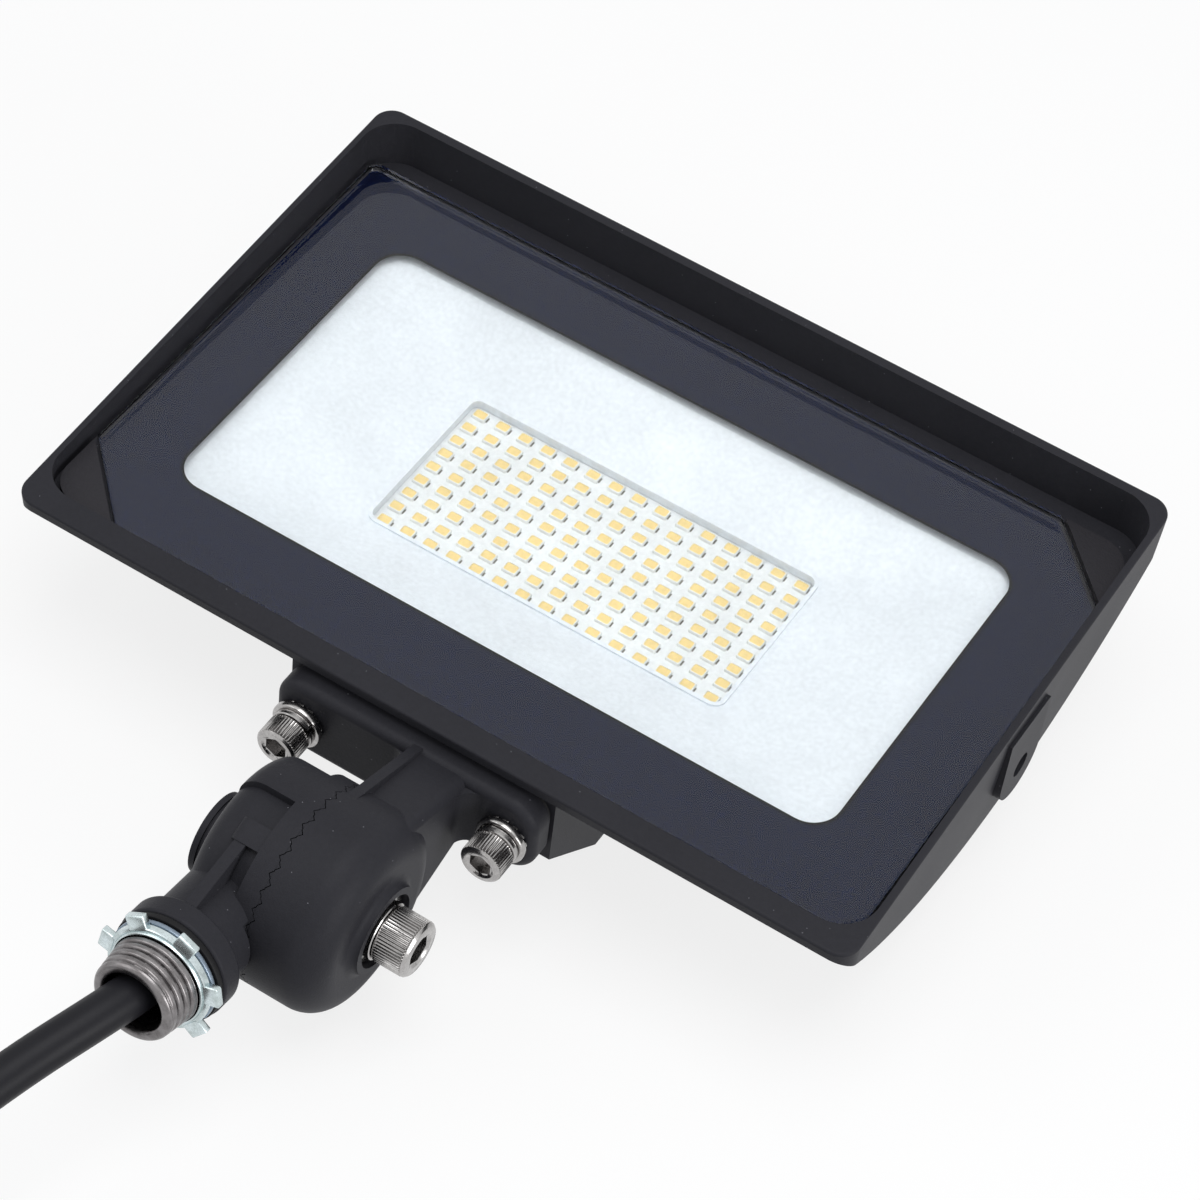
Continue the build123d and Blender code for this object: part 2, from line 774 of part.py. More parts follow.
# Fixed half of the knuckle: serrated flange, barrel, neck and threaded collar
with BuildPart() as knuckle_base:
    # Neck, cut back beside the turning cup, then round, then the collar
    with BuildSketch(nipple_plane.offset(neck_start)):
        Circle(neck_radius)
        with Locations((-neck_near - neck_x + neck_radius, 0)):
            Rectangle(2 * neck_radius, 2 * neck_radius, mode=Mode.SUBTRACT)
    extrude(amount=neck_clear - neck_start)
    with BuildSketch(nipple_plane.offset(neck_clear)):
        Circle(neck_radius)
    extrude(amount=collar_end - neck_clear)
    with BuildSketch(nipple_plane.offset(collar_start)):
        Circle(collar_radius)
    extrude(amount=collar_end - collar_start)
    collar_rings = edges().filter_by(GeomType.CIRCLE)
    fillet(collar_rings.filter_by(lambda ring: ring.radius > collar_radius - 0.1), collar_soft)
    # Rib from the barrel to the collar
    with BuildSketch(pivot_side.offset(neck_rib_x)):
        collar_top = collar_radius - collar_soft
        reach = collar_start + collar_soft
        Polygon(
            (-neck_rib_start, neck_rib_top),
            (-reach * cos(neck) + collar_top * sin(neck), reach * sin(neck) + collar_top * cos(neck)),
            (-reach * cos(neck), reach * sin(neck) + neck_radius - 1),
            (-neck_rib_start, neck_radius - 1),
            align=None,
        )
    extrude(amount=-neck_rib)
    # Flange, barrel and ridged stub, turned about the pivot
    stub_end = barrel_width + stub_width
    with BuildSketch(pivot):
        with BuildLine():
            Polyline(
                (-barrel_width, barrel_radius - barrel_round),
                (-barrel_width, stub_radius),
                (-barrel_width - stub_ridge, stub_radius),
                (-barrel_width - stub_ridge, stub_radius - stub_groove),
                (-barrel_width - 2 * stub_ridge, stub_radius - stub_groove),
                (-barrel_width - 2 * stub_ridge, stub_radius),
                (-barrel_width - 3 * stub_ridge, stub_radius),
                (-barrel_width - 3 * stub_ridge, stub_radius - stub_groove),
                (-barrel_width - 4 * stub_ridge, stub_radius - stub_groove),
                (-barrel_width - 4 * stub_ridge, stub_radius),
                (-stub_end, stub_radius),
                (-stub_end, 0),
                (-parting_gap, 0),
                (-parting_gap, joint_radius),
                (-flange_width, joint_radius),
                (-flange_width, barrel_radius),
                (-barrel_width + barrel_round, barrel_radius),
            )
            RadiusArc(
                (-barrel_width + barrel_round, barrel_radius),
                (-barrel_width, barrel_radius - barrel_round),
                -barrel_round,
            )
        make_face()
    revolve(axis=pivot_axis)
    for lug in lug_solids:
        add(lug)
    # Nipple thread, wire way and wire room, screw hole and nut pocket
    with BuildSketch(nipple_plane.offset(nipple_start)):
        Circle(nipple_shank)
    extrude(amount=collar_end, mode=Mode.SUBTRACT)
    with BuildSketch(nipple_plane.offset(wire_room_outer - 4)):
        Circle(neck_bore / 2)
    extrude(amount=nipple_start, mode=Mode.SUBTRACT)
    with BuildSketch(pivot_side):
        Circle(wire_room_outer)
        Circle(wire_room_inner, mode=Mode.SUBTRACT)
    extrude(amount=-base_room_depth, mode=Mode.SUBTRACT)
    with BuildSketch(pivot_side):
        Circle(m8_clearance / 2)
    extrude(amount=-stub_end, mode=Mode.SUBTRACT)
    with BuildSketch(pivot_side.offset(-nut_start)):
        RegularPolygon(m8_nut / 2 + nut_play, 6, major_radius=False)
    extrude(amount=-nut_sunk, mode=Mode.SUBTRACT)
    # Teeth, half a pitch round from those of the cup
    mirrored = groove.part.mirror(pivot_side)
    for tooth in range(tooth_count):
        add(mirrored.rotate(pivot_axis, 2 * half_pitch * tooth + half_pitch), mode=Mode.SUBTRACT)
knuckle_base.part.label = "knuckle_base"
export_step(knuckle_base.part, "parts/knuckle_base.step")

# Clamp screw through both halves into a nut
with BuildPart() as clamp_flat_washer:
    with BuildSketch(pivot_side.offset(cup_seat)):
        Circle(m8_flat_washer_radius)
        Circle(m8_clearance / 2, mode=Mode.SUBTRACT)
    extrude(amount=m8_flat_washer)
clamp_flat_washer.part.label = "clamp_flat_washer"
export_step(clamp_flat_washer.part, "parts/clamp_flat_washer.step")

with BuildPart() as clamp_spring_washer:
    with BuildSketch(pivot_side.offset(cup_seat + m8_flat_washer)):
        Circle(m8_spring_washer_radius)
        Circle(m8_clearance / 2 - 0.1, mode=Mode.SUBTRACT)
        with Locations((0, m8_spring_washer_radius)):
            Rectangle(washer_split, m8_spring_washer_radius * 2 - m8, mode=Mode.SUBTRACT)
    extrude(amount=m8_spring_washer)
clamp_spring_washer.part.label = "clamp_spring_washer"
export_step(clamp_spring_washer.part, "parts/clamp_spring_washer.step")

screw_seat = cup_seat + m8_flat_washer + m8_spring_washer + running_gap
with BuildPart() as clamp_screw:
    with BuildSketch(pivot_side.offset(screw_seat)):
        Circle(m8_head / 2)
    extrude(amount=m8_head_height)
    chamfer(faces().sort_by(Axis.X)[-1].edges(), 0.7)
    with BuildSketch(pivot_side.offset(screw_seat + m8_head_height)):
        RegularPolygon(m8_key / 2, 6, major_radius=False)
    extrude(amount=-m8_head_height / 2, mode=Mode.SUBTRACT)
    with BuildSketch(pivot_side.offset(screw_seat)):
        Circle(m8 / 2)
    extrude(amount=-m8_length)
clamp_screw.part.label = "clamp_screw"
export_step(clamp_screw.part, "parts/clamp_screw.step")

with BuildPart() as clamp_nut:
    with BuildSketch(pivot_side.offset(-nut_start)):
        RegularPolygon(m8_nut / 2, 6, major_radius=False)
        Circle(m8 / 2 + running_gap, mode=Mode.SUBTRACT)
    extrude(amount=-m8_nut_height)
clamp_nut.part.label = "clamp_nut"
export_step(clamp_nut.part, "parts/clamp_nut.step")

# Conduit nipple, sealing washer and locknut
with BuildPart() as nipple:
    with BuildSketch(nipple_plane.offset(nipple_start)):
        Circle(nipple_shank)
    extrude(amount=nipple_end - nipple_start)
    with BuildSketch(nipple_plane.offset(nipple_end)):
        Circle(nipple_radius)
    extrude(amount=nipple_free - nipple_end)
    with BuildSketch(nipple_plane.offset(nipple_start)):
        Circle(nipple_bore)
    extrude(amount=nipple_end, mode=Mode.SUBTRACT)
nipple.part.label = "nipple"
export_step(nipple.part, "parts/nipple.step")

with BuildPart() as seal_washer:
    with BuildSketch(nipple_plane.offset(collar_end)):
        Circle(seal_radius)
        Circle(nipple_shank + locknut_running, mode=Mode.SUBTRACT)
    extrude(amount=seal_thickness)
seal_washer.part.label = "seal_washer"
export_step(seal_washer.part, "parts/seal_washer.step")

with BuildPart() as locknut:
    with BuildSketch(nipple_plane.offset(locknut_start)):
        Circle(locknut_radius)
        with PolarLocations(0, locknut_lugs):
            Trapezoid(6.5, locknut_lug, 80, rotation=90, align=(Align.CENTER, Align.MIN))
        Circle(nipple_shank + locknut_running, mode=Mode.SUBTRACT)
    extrude(amount=locknut_thickness)
locknut.part.label = "locknut"
export_step(locknut.part, "parts/locknut.step")

# Cord grommet inside the nipple
with BuildPart() as cord_grommet:
    with BuildSketch(nipple_plane.offset(cord_start - grommet_length)):
        Circle(nipple_bore - cord_play)
        Circle(cord / 2 - 1, mode=Mode.SUBTRACT)
    extrude(amount=grommet_length)
cord_grommet.part.label = "cord_grommet"
export_step(cord_grommet.part, "parts/cord_grommet.step")

# Supply cord: out of the nipple, down to the floor and into a flat coil
lay = cord / 2
coil_x = -38.5
coil_y = -257.0
cord_points = [
    nipple_plane.from_local_coords(Vector(0, 0, cord_start)),
    nipple_plane.from_local_coords(Vector(0, 0, cord_start + 8.5)),
    Vector(-11.2, -118.3, 38.3),
    Vector(-18.7, -140.0, 36.6),
    Vector(-26.4, -163.5, 31.2),
    Vector(-32.6, -186.5, 21.6),
    Vector(-36.8, -209.0, 10.9),
    Vector(coil_x, -230.0, lay),
    Vector(coil_x, coil_y + cord, lay),
]


def bend_radii(points):
    """Largest even radii for a route: 0.45 of the shorter run over the tangent of half the turn."""
    radii = []
    for before, here, after in zip(points, points[1:], points[2:]):
        turn = radians((here - before).get_angle(after - here))
        radii.append(0.45 * min((here - before).length, (after - here).length) / tan(turn / 2))
    return radii


cord_radii = bend_radii(cord_points)
with BuildPart() as supply_cord:
    with BuildLine():
        cord_route = FilletPolyline(*cord_points, radius=cord_radii)
    with BuildSketch(Plane(origin=cord_route @ 0, z_dir=cord_route % 0)):
        Circle(cord / 2)
    sweep(path=cord_route)
supply_cord.part.label = "supply_cord"
export_step(supply_cord.part, "parts/supply_cord.step")

# Coil: one flat layer of half turns, each smaller than the one outside it
with BuildPart() as cord_coil:
    with BuildLine():
        spiral = Line((coil_x, coil_y + cord, lay), (coil_x, coil_y, lay))
        x = coil_x
        for turn, radius in enumerate(coil_radii):
            inward = -1 if turn % 2 == 0 else 1
            there = x + inward * 2 * radius
            ThreePointArc(
                (x, coil_y, lay),
                (x + inward * radius, coil_y + inward * radius, lay),
                (there, coil_y, lay),
            )
            x = there
        Line((x, coil_y, lay), (x, coil_y - cord, lay))
    coil_end = x
    with BuildSketch(Plane(origin=(coil_x, coil_y + cord, lay), z_dir=(0, -1, 0))):
        Circle(cord / 2)
    sweep()
cord_coil.part.label = "cord_coil"
export_step(cord_coil.part, "parts/cord_coil.step")

# Stripped conductors at the loose end, curling into the middle of the coil
with BuildPart() as cord_conductors:
    for step in (-1, 0, 1):
        x = coil_end + step * conductor_spacing
        bend = conductor_bend + step * conductor_spacing
        top = coil_y - cord
        low = top - conductor_lead
        with BuildLine():
            Line((x, top, lay), (x, low, lay))
            ThreePointArc(
                (x, low, lay),
                (x - bend * (1 - cos(pi / 4)), low - bend * sin(pi / 4), lay),
                (x - bend, low - bend, lay),
            )
            Line((x - bend, low - bend, lay), (x - bend - conductor_tail, low - bend, lay))
        with BuildSketch(Plane(origin=(x, top, lay), z_dir=(0, -1, 0))):
            Circle(conductor / 2)
        sweep()
cord_conductors.part.label = "cord_conductors"
export_step(cord_conductors.part, "parts/cord_conductors.step")

# What the cord measures
section = pi * cord**2 / 4
coil_length = pi * sum(coil_radii) + 2 * cord
print("cord radii", [round(r, 1) for r in cord_radii])
print("cord run", round(cord_route.length, 1), "coil", round(coil_length, 1))
print("run volume over section x length", round(supply_cord.part.volume / (section * cord_route.length), 4))
print("coil volume over section x length", round(cord_coil.part.volume / (section * coil_length), 4))
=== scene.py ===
"""Looks of the LED flood light: finishes, glass, chips, fasteners, threads, cord and studio."""
import json
from math import cos, pi, radians, sin, sqrt, tan

import bmesh
import bpy
from bpy.props import FloatProperty, FloatVectorProperty, IntProperty, PointerProperty
from bpy.types import Operator, Panel, PropertyGroup
from mathutils import Matrix, Vector


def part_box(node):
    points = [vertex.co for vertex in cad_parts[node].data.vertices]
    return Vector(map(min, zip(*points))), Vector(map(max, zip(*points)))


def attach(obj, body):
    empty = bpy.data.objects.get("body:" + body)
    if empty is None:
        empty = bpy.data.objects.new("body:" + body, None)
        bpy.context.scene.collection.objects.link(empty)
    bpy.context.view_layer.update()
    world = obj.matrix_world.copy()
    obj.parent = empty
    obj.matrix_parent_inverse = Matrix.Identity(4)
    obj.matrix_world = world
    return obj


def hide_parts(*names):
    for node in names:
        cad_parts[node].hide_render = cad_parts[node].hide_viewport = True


bl_info = {
    "name": "LED flood light",
    "version": (1, 1, 0),
    "blender": (4, 5, 0),
    "location": "3D View > Sidebar > Flood light",
    "description": "Dresses the packed model of an LED flood light on a knuckle mount",
    "category": "Object",
}

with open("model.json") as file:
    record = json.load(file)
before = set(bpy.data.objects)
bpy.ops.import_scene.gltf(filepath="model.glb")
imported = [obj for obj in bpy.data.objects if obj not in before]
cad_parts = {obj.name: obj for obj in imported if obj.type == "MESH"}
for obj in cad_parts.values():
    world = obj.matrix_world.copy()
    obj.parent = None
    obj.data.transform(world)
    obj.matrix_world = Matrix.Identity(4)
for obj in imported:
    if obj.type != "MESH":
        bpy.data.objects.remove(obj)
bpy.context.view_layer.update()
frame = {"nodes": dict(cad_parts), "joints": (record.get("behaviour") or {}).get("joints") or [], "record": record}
NODES = frame["nodes"]
MM = 0.001


def joint_place(name):
    """Place of a packed joint, in millimetres."""
    return Vector(next(j for j in frame["joints"] if j["name"] == name)["pos_m"]) / MM


def box_mm(name):
    """Lowest and highest corner of a node, in millimetres."""
    low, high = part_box(name)
    return low / MM, high / MM


def local_frame(origin, forward, right=(1, 0, 0)):
    """Frame in millimetres whose Z runs along forward and whose X lies towards right."""
    z = Vector(forward).normalized()
    y = z.cross(Vector(right)).normalized()
    x = y.cross(z)
    return Matrix.Translation(Vector(origin)) @ Matrix((x, y, z)).transposed().to_4x4()


PIVOT = joint_place("head_tilt")
NIPPLE = next(m for m in frame["record"]["mounts"] if m["name"] == "nipple")
NIPPLE_AXIS = Vector(NIPPLE["axis"]).normalized()
HUB = Vector((NIPPLE["pos_m"][0] / MM, PIVOT.y, PIVOT.z))
GLASS_LOW, GLASS_HIGH = box_mm("glass_lens")
GLASS_Y = (GLASS_LOW.y + GLASS_HIGH.y) / 2
HEAD_Y = GLASS_Y + 0.6
NIPPLE_FRAME = local_frame(HUB, NIPPLE_AXIS)
PIVOT_FRAME = local_frame(PIVOT, (1, 0, 0), right=(0, 1, 0))


# Sizes and colours that a user would change

def length(name, description, default):
    """Length property whose default is in millimetres."""
    return FloatProperty(name=name, description=description, default=default * MM, unit="LENGTH")


def colour(name, description, default):
    return FloatVectorProperty(
        name=name, description=description, subtype="COLOR", default=default, min=0, max=1)


class FloodSizes(PropertyGroup):
    window_length: length("Window length", "Clear window in the printed border, long way", 167.2)
    window_depth: length("Window depth", "Clear window in the printed border, short way", 87.2)
    window_corner: length("Window corner", "Corner radius of the clear window", 7.0)
    glass_chamfer: length("Glass chamfer", "Ground edge of the glass", 0.4)
    thread_pitch: length("Thread pitch", "Pitch of the conduit thread", 1.814)
    thread_depth: length("Thread depth", "Depth of the conduit thread", 0.75)
    lug_reach: length("Lug reach", "Radius over the lugs of the locknut", 14.95)
    lugs: IntProperty(name="Lugs", description="Lugs round the locknut", default=7, min=3)
    knurls: IntProperty(name="Knurls", description="Ridges round a screw head", default=44, min=8)
    teeth: IntProperty(name="Knuckle teeth", description="Teeth round the knuckle", default=36, min=8)
    tooth_gap: length("Tooth gap", "Gap between the teeth of the two knuckle halves", 0.19)
    cord_diameter: length("Cord diameter", "Outside diameter of the supply cord", 9.3)


class FloodColours(PropertyGroup):
    coat: colour("Powder coat", "Black coat of the castings", (0.026, 0.026, 0.031))
    cover: colour("Corner covers", "Textured plastic of the corner covers", (0.020, 0.019, 0.023))
    ink: colour("Glass print", "Dark border printed on the glass", (0.002, 0.005, 0.024))
    reflector: colour("Reflector", "White reflector", (0.83, 0.87, 0.93))
    board: colour("Board", "White lacquer of the board", (0.86, 0.88, 0.90))
    chip: colour("Chip body", "White body of a chip", (0.88, 0.88, 0.86))
    phosphor: colour("Phosphor", "Lens of a chip", (0.93, 0.71, 0.30))
    steel: colour("Steel", "Bright screws and washers", (0.43, 0.42, 0.415))
    zinc: colour("Zinc", "Locknut", (0.62, 0.70, 0.72))
    washer: colour("Plated washer", "Plated washer behind the locknut", (0.22, 0.27, 0.33))
    nipple: colour("Nipple", "Bare threaded nipple", (0.22, 0.21, 0.213))
    cord: colour("Cord", "Rubber jacket of the cord", (0.014, 0.014, 0.017))


def colours():
    return bpy.context.scene.flood_colours


def sizes():
    return bpy.context.scene.flood_sizes


# Shader helpers

FLOAT = "NodeSocketFloat"
COLOUR = "NodeSocketColor"
VECTOR = "NodeSocketVector"


def node(tree, kind, **settings):
    """Node of a kind; settings name its properties or, failing that, its inputs."""
    made = tree.nodes.new(kind)
    for key, value in settings.items():
        if hasattr(made, key):
            setattr(made, key, value)
        else:
            made.inputs[key.replace("_", " ")].default_value = value
    return made


def maths(tree, operation, *values):
    """Math node whose inputs are numbers or sockets."""
    made = node(tree, "ShaderNodeMath", operation=operation)
    for slot, value in zip(made.inputs, values):
        if isinstance(value, (int, float)):
            slot.default_value = value
        else:
            tree.links.new(value, slot)
    return made.outputs[0]


def blend_colours(tree, factor, first, second):
    """Mix of two colours: inputs 6 and 7 and output 2 are the node's colour sockets."""
    made = node(tree, "ShaderNodeMix", data_type="RGBA")
    for slot, value in ((made.inputs["Factor"], factor), (made.inputs[6], first), (made.inputs[7], second)):
        if isinstance(value, (int, float, tuple)):
            slot.default_value = value
        else:
            tree.links.new(value, slot)
    return made.outputs[2]


def new_group(name, inputs, outputs):
    """Node group with named sockets; inputs are (name, kind, default)."""
    group = bpy.data.node_groups.new(name, "ShaderNodeTree")
    for label, kind, default in inputs:
        group.interface.new_socket(label, in_out="INPUT", socket_type=kind).default_value = default
    for label, kind in outputs:
        group.interface.new_socket(label, in_out="OUTPUT", socket_type=kind)
    return group, group.nodes.new("NodeGroupInput"), group.nodes.new("NodeGroupOutput")


def noise(tree, place, scale, detail, rough=0.55):
    """Noise over a place; scale is a number or a socket."""
    made = node(tree, "ShaderNodeTexNoise", Detail=detail, Roughness=rough)
    tree.links.new(place, made.inputs["Vector"])
    if isinstance(scale, (int, float)):
        made.inputs["Scale"].default_value = scale
    else:
        tree.links.new(scale, made.inputs["Scale"])
    return made.outputs["Fac"]


def grain_group():
    """Pebbled grain with sparse light specks, which are painted glints: colour, roughness and height."""
    group, start, end = new_group(
        "pebbled grain",
        [("Colour", COLOUR, (0.02, 0.02, 0.02, 1)), ("Grain per metre", FLOAT, 2500.0),
         ("Roughness", FLOAT, 0.45), ("Roughness spread", FLOAT, 0.1), ("Colour spread", FLOAT, 0.25),
         ("Specks", FLOAT, 0.0)],
        [("Colour", COLOUR), ("Roughness", FLOAT), ("Height", FLOAT)])
    place = node(group, "ShaderNodeTexCoord").outputs["Object"]
    fine = noise(group, place, start.outputs["Grain per metre"], 3.0, 0.6)
    broad = noise(group, place, 42.0, 4.0)
    middling = noise(group, place, 900.0, 3.0)
    swing = maths(group, "SUBTRACT", broad, 0.5)
    rough = maths(group, "MULTIPLY_ADD", swing, start.outputs["Roughness spread"], start.outputs["Roughness"])
    group.links.new(rough, end.inputs["Roughness"])
    both = maths(group, "ADD", swing, maths(group, "SUBTRACT", middling, 0.5))
    shade = maths(group, "MULTIPLY_ADD", both, start.outputs["Colour spread"], 1.0)
    tint = node(group, "ShaderNodeVectorMath", operation="SCALE")
    group.links.new(start.outputs["Colour"], tint.inputs[0])
    group.links.new(shade, tint.inputs["Scale"])
    # Sparse light specks lifted into the colour are painted glints of the grain
    cells = node(group, "ShaderNodeTexVoronoi", Scale=520.0)
    group.links.new(place, cells.inputs["Vector"])
    near = maths(group, "LESS_THAN", cells.outputs["Distance"], 0.065)
    picked = node(group, "ShaderNodeSeparateColor")
    group.links.new(cells.outputs["Color"], picked.inputs[0])
    chosen = maths(group, "GREATER_THAN", picked.outputs[0], 0.7)
    painted_glint = maths(group, "MULTIPLY", maths(group, "MULTIPLY", near, chosen), start.outputs["Specks"])
    group.links.new(blend_colours(group, painted_glint, tint.outputs[0], (0.16, 0.16, 0.18, 1)), end.inputs["Colour"])
    group.links.new(fine, end.inputs["Height"])
    return group


def metal_group():
    """Worked metal: stretched streaks and soft stains for colour, roughness and height."""
    group, start, end = new_group(
        "worked metal",
        [("Colour", COLOUR, (0.6, 0.6, 0.6, 1)), ("Stain", COLOUR, (0.3, 0.3, 0.3, 1)),
         ("Stain amount", FLOAT, 0.3), ("Roughness", FLOAT, 0.3), ("Streak", FLOAT, 0.15),
         ("Stretch", VECTOR, (1.0, 1.0, 1.0))],
        [("Colour", COLOUR), ("Roughness", FLOAT), ("Height", FLOAT)])
    place = node(group, "ShaderNodeTexCoord").outputs["Object"]
    pulled = node(group, "ShaderNodeVectorMath", operation="MULTIPLY")
    group.links.new(place, pulled.inputs[0])
    group.links.new(start.outputs["Stretch"], pulled.inputs[1])
    stains = noise(group, place, 300.0, 4.0, 0.65)
    streaks = noise(group, pulled.outputs[0], 2400.0, 3.0)
    spread = node(group, "ShaderNodeMapRange")
    spread.inputs["From Min"].default_value = 0.42
    spread.inputs["From Max"].default_value = 0.66
    group.links.new(stains, spread.inputs["Value"])
    amount = maths(group, "MULTIPLY", spread.outputs["Result"], start.outputs["Stain amount"])
    base = blend_colours(group, amount, start.outputs["Colour"], start.outputs["Stain"])
    swing = maths(group, "SUBTRACT", streaks, 0.5)
    tint = node(group, "ShaderNodeVectorMath", operation="SCALE")
    group.links.new(base, tint.inputs[0])
    group.links.new(maths(group, "MULTIPLY_ADD", swing, 0.8, 1.0), tint.inputs["Scale"])
    group.links.new(tint.outputs[0], end.inputs["Colour"])
    rough = maths(group, "MULTIPLY_ADD", swing, start.outputs["Streak"], start.outputs["Roughness"])
    group.links.new(rough, end.inputs["Roughness"])
    group.links.new(streaks, end.inputs["Height"])
    return group


GRAIN = grain_group()
METAL = metal_group()


def new_material(name):
    """Material with an empty node tree but for its output."""
    material = bpy.data.materials.new(name)
    material.use_nodes = True
    material.node_tree.nodes.clear()
    return material, material.node_tree, material.node_tree.nodes.new("ShaderNodeOutputMaterial")


def shaded(name, group, bump, distance, shader_values, values):
    """Material whose shader takes colour, roughness and bump from a group."""
    material, tree, output = new_material(name)
    shader = tree.nodes.new("ShaderNodeBsdfPrincipled")
    source = tree.nodes.new("ShaderNodeGroup")
    source.node_tree = group
    for key, value in values.items():
        source.inputs[key].default_value = value
    for key, value in shader_values.items():
        shader.inputs[key].default_value = value
    tree.links.new(source.outputs["Colour"], shader.inputs["Base Color"])
    tree.links.new(source.outputs["Roughness"], shader.inputs["Roughness"])
    lift = node(tree, "ShaderNodeBump", Strength=bump, Distance=distance)
    tree.links.new(source.outputs["Height"], lift.inputs["Height"])
    tree.links.new(lift.outputs["Normal"], shader.inputs["Normal"])
    tree.links.new(shader.outputs["BSDF"], output.inputs["Surface"])
    return material


def grainy(name, tint, rough, grain=2500.0, bump=0.25, specks=0.0, specular=0.5, spread=0.25):
    return shaded(name, GRAIN, bump, 0.0002, {"Specular IOR Level": specular}, {
        "Colour": (*tint, 1.0), "Roughness": rough, "Grain per metre": grain, "Specks": specks,
        "Colour spread": spread})


def metallic(name, tint, stain, rough, amount=0.3, bump=0.08, stretch=(1.0, 1.0, 1.0), streak=0.15):
    return shaded(name, METAL, bump, 0.00005, {"Metallic": 1.0}, {
        "Colour": (*tint, 1.0), "Stain": (*stain, 1.0), "Stain amount": amount, "Roughness": rough,
        "Stretch": stretch, "Streak": streak})


def clear_glass():
    material, tree, output = new_material("clear glass")
    shader = node(
        tree, "ShaderNodeBsdfPrincipled", Base_Color=(0.97, 0.985, 0.98, 1), Roughness=0.02,
        Transmission_Weight=1.0, IOR=1.33)
    tree.links.new(shader.outputs["BSDF"], output.inputs["Surface"])
    return material


def coat_node(name, material):
    """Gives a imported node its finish."""
    mesh = NODES[name].data
    mesh.materials.clear()
    mesh.materials.append(material)


# Mesh helpers, all in millimetres

def piece_of(name, bm, body, material, replaces=(), smooth=30.0):
    """Finished piece from a bmesh in millimetres."""
    bmesh.ops.recalc_face_normals(bm, faces=bm.faces)
    bmesh.ops.scale(bm, vec=(MM, MM, MM), verts=bm.verts)
    mesh = bpy.data.meshes.new(name)
    bm.to_mesh(mesh)
    bm.free()
    mesh.materials.append(material)
    piece = bpy.data.objects.new(name, mesh)
    bpy.context.scene.collection.objects.link(piece)
    for face in mesh.polygons:
        face.use_smooth = True
    mesh.set_sharp_from_angle(angle=radians(smooth))
    return settled(piece, body, replaces)


def settled(piece, body, replaces=()):
    """Lets a piece ride on its body and what it stands for."""
    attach(piece, body)
    if replaces:
        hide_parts(*replaces)
    return piece


def skin(bm, rings, caps=(True, True), closed=False):
    """Skins vertex rings of equal count; closed joins the last ring to the first."""
    made = [[bm.verts.new(point) for point in ring] for ring in rings]
    for low, high in zip(made, made[1:] + made[:1] if closed else made[1:]):
        for i in range(len(low)):
            j = (i + 1) % len(low)
            bm.faces.new((low[i], low[j], high[j], high[i]))
    if not closed and caps[0]:
        bm.faces.new(list(reversed(made[0])))
    if not closed and caps[1]:
        bm.faces.new(made[-1])


def circle(place, radius, height, count):
    """Points of a circle in a frame; radius may be a function of the angle."""
    points = []
    for i in range(count):
        angle = 2 * pi * i / count
        reach = radius(angle) if callable(radius) else radius
        points.append(place @ Vector((reach * cos(angle), reach * sin(angle), height)))
    return points


def turned(bm, place, profile, count=72):
    """Closed profile of (radius, height) turned about the Z axis of a frame."""
    skin(bm, [circle(place, radius, height, count) for radius, height in profile], closed=True)


def soft_ring(inner, outer, low, high, soft):
    """Profile of a ring with rounded corners."""
    half = soft * (1 - sqrt(0.5))
    return [
        (inner, low + soft), (inner, high - soft), (inner + half, high - half), (inner + soft, high),
        (outer - soft, high), (outer - half, high - half), (outer, high - soft), (outer, low + soft),
        (outer - half, low + half), (outer - soft, low), (inner + soft, low), (inner + half, low + half),
    ]


def rounded_rectangle(centre, length, depth, radius, steps):
    """Points round a rounded rectangle."""
    points = []
    for quarter, (sx, sy) in enumerate(((1, 1), (-1, 1), (-1, -1), (1, -1))):
        cx = centre[0] + sx * (length / 2 - radius)
        cy = centre[1] + sy * (depth / 2 - radius)
        for i in range(steps + 1):
            angle = pi / 2 * (quarter + i / steps)
            points.append((cx + radius * cos(angle), cy + radius * sin(angle)))
    return points


def at_height(points, z):
    return [(x, y, z) for x, y in points]


def slab(bm, outlines, low, high, place=Matrix()):
    """Flat plate between two heights, with its outline first and then its holes."""
    edges = []
    for outline in outlines:
        verts = [bm.verts.new(place @ Vector((x, y, low))) for x, y in outline]
        edges += [bm.edges.new((a, b)) for a, b in zip(verts, verts[1:] + verts[:1])]
    filled = bmesh.ops.triangle_fill(bm, use_beauty=True, edges=edges)
    faces = [g for g in filled["geom"] if isinstance(g, bmesh.types.BMFace)]
    grown = bmesh.ops.extrude_face_region(bm, geom=faces)
    moved = [g for g in grown["geom"] if isinstance(g, bmesh.types.BMVert)]
    lift = place.to_3x3() @ Vector((0, 0, high - low))
    bmesh.ops.translate(bm, vec=lift, verts=moved)


def block(bm, corners, soft, segments=2):
    """Eight-cornered block, four below and four above, with rounded edges."""
    verts = [bm.verts.new(corner) for corner in corners]
    sides = ((3, 2, 1, 0), (4, 5, 6, 7), (0, 1, 5, 4), (1, 2, 6, 5), (2, 3, 7, 6), (3, 0, 4, 7))
    faces = [bm.faces.new([verts[i] for i in side]) for side in sides]
    bmesh.ops.recalc_face_normals(bm, faces=faces)
    edges = {edge for face in faces for edge in face.edges}
    bmesh.ops.bevel(bm, geom=list(edges), offset=soft, segments=segments, affect="EDGES", profile=0.5)


def polar(place, radius, degrees, height):
    angle = radians(degrees)
    return place @ Vector((radius * cos(angle), radius * sin(angle), height))


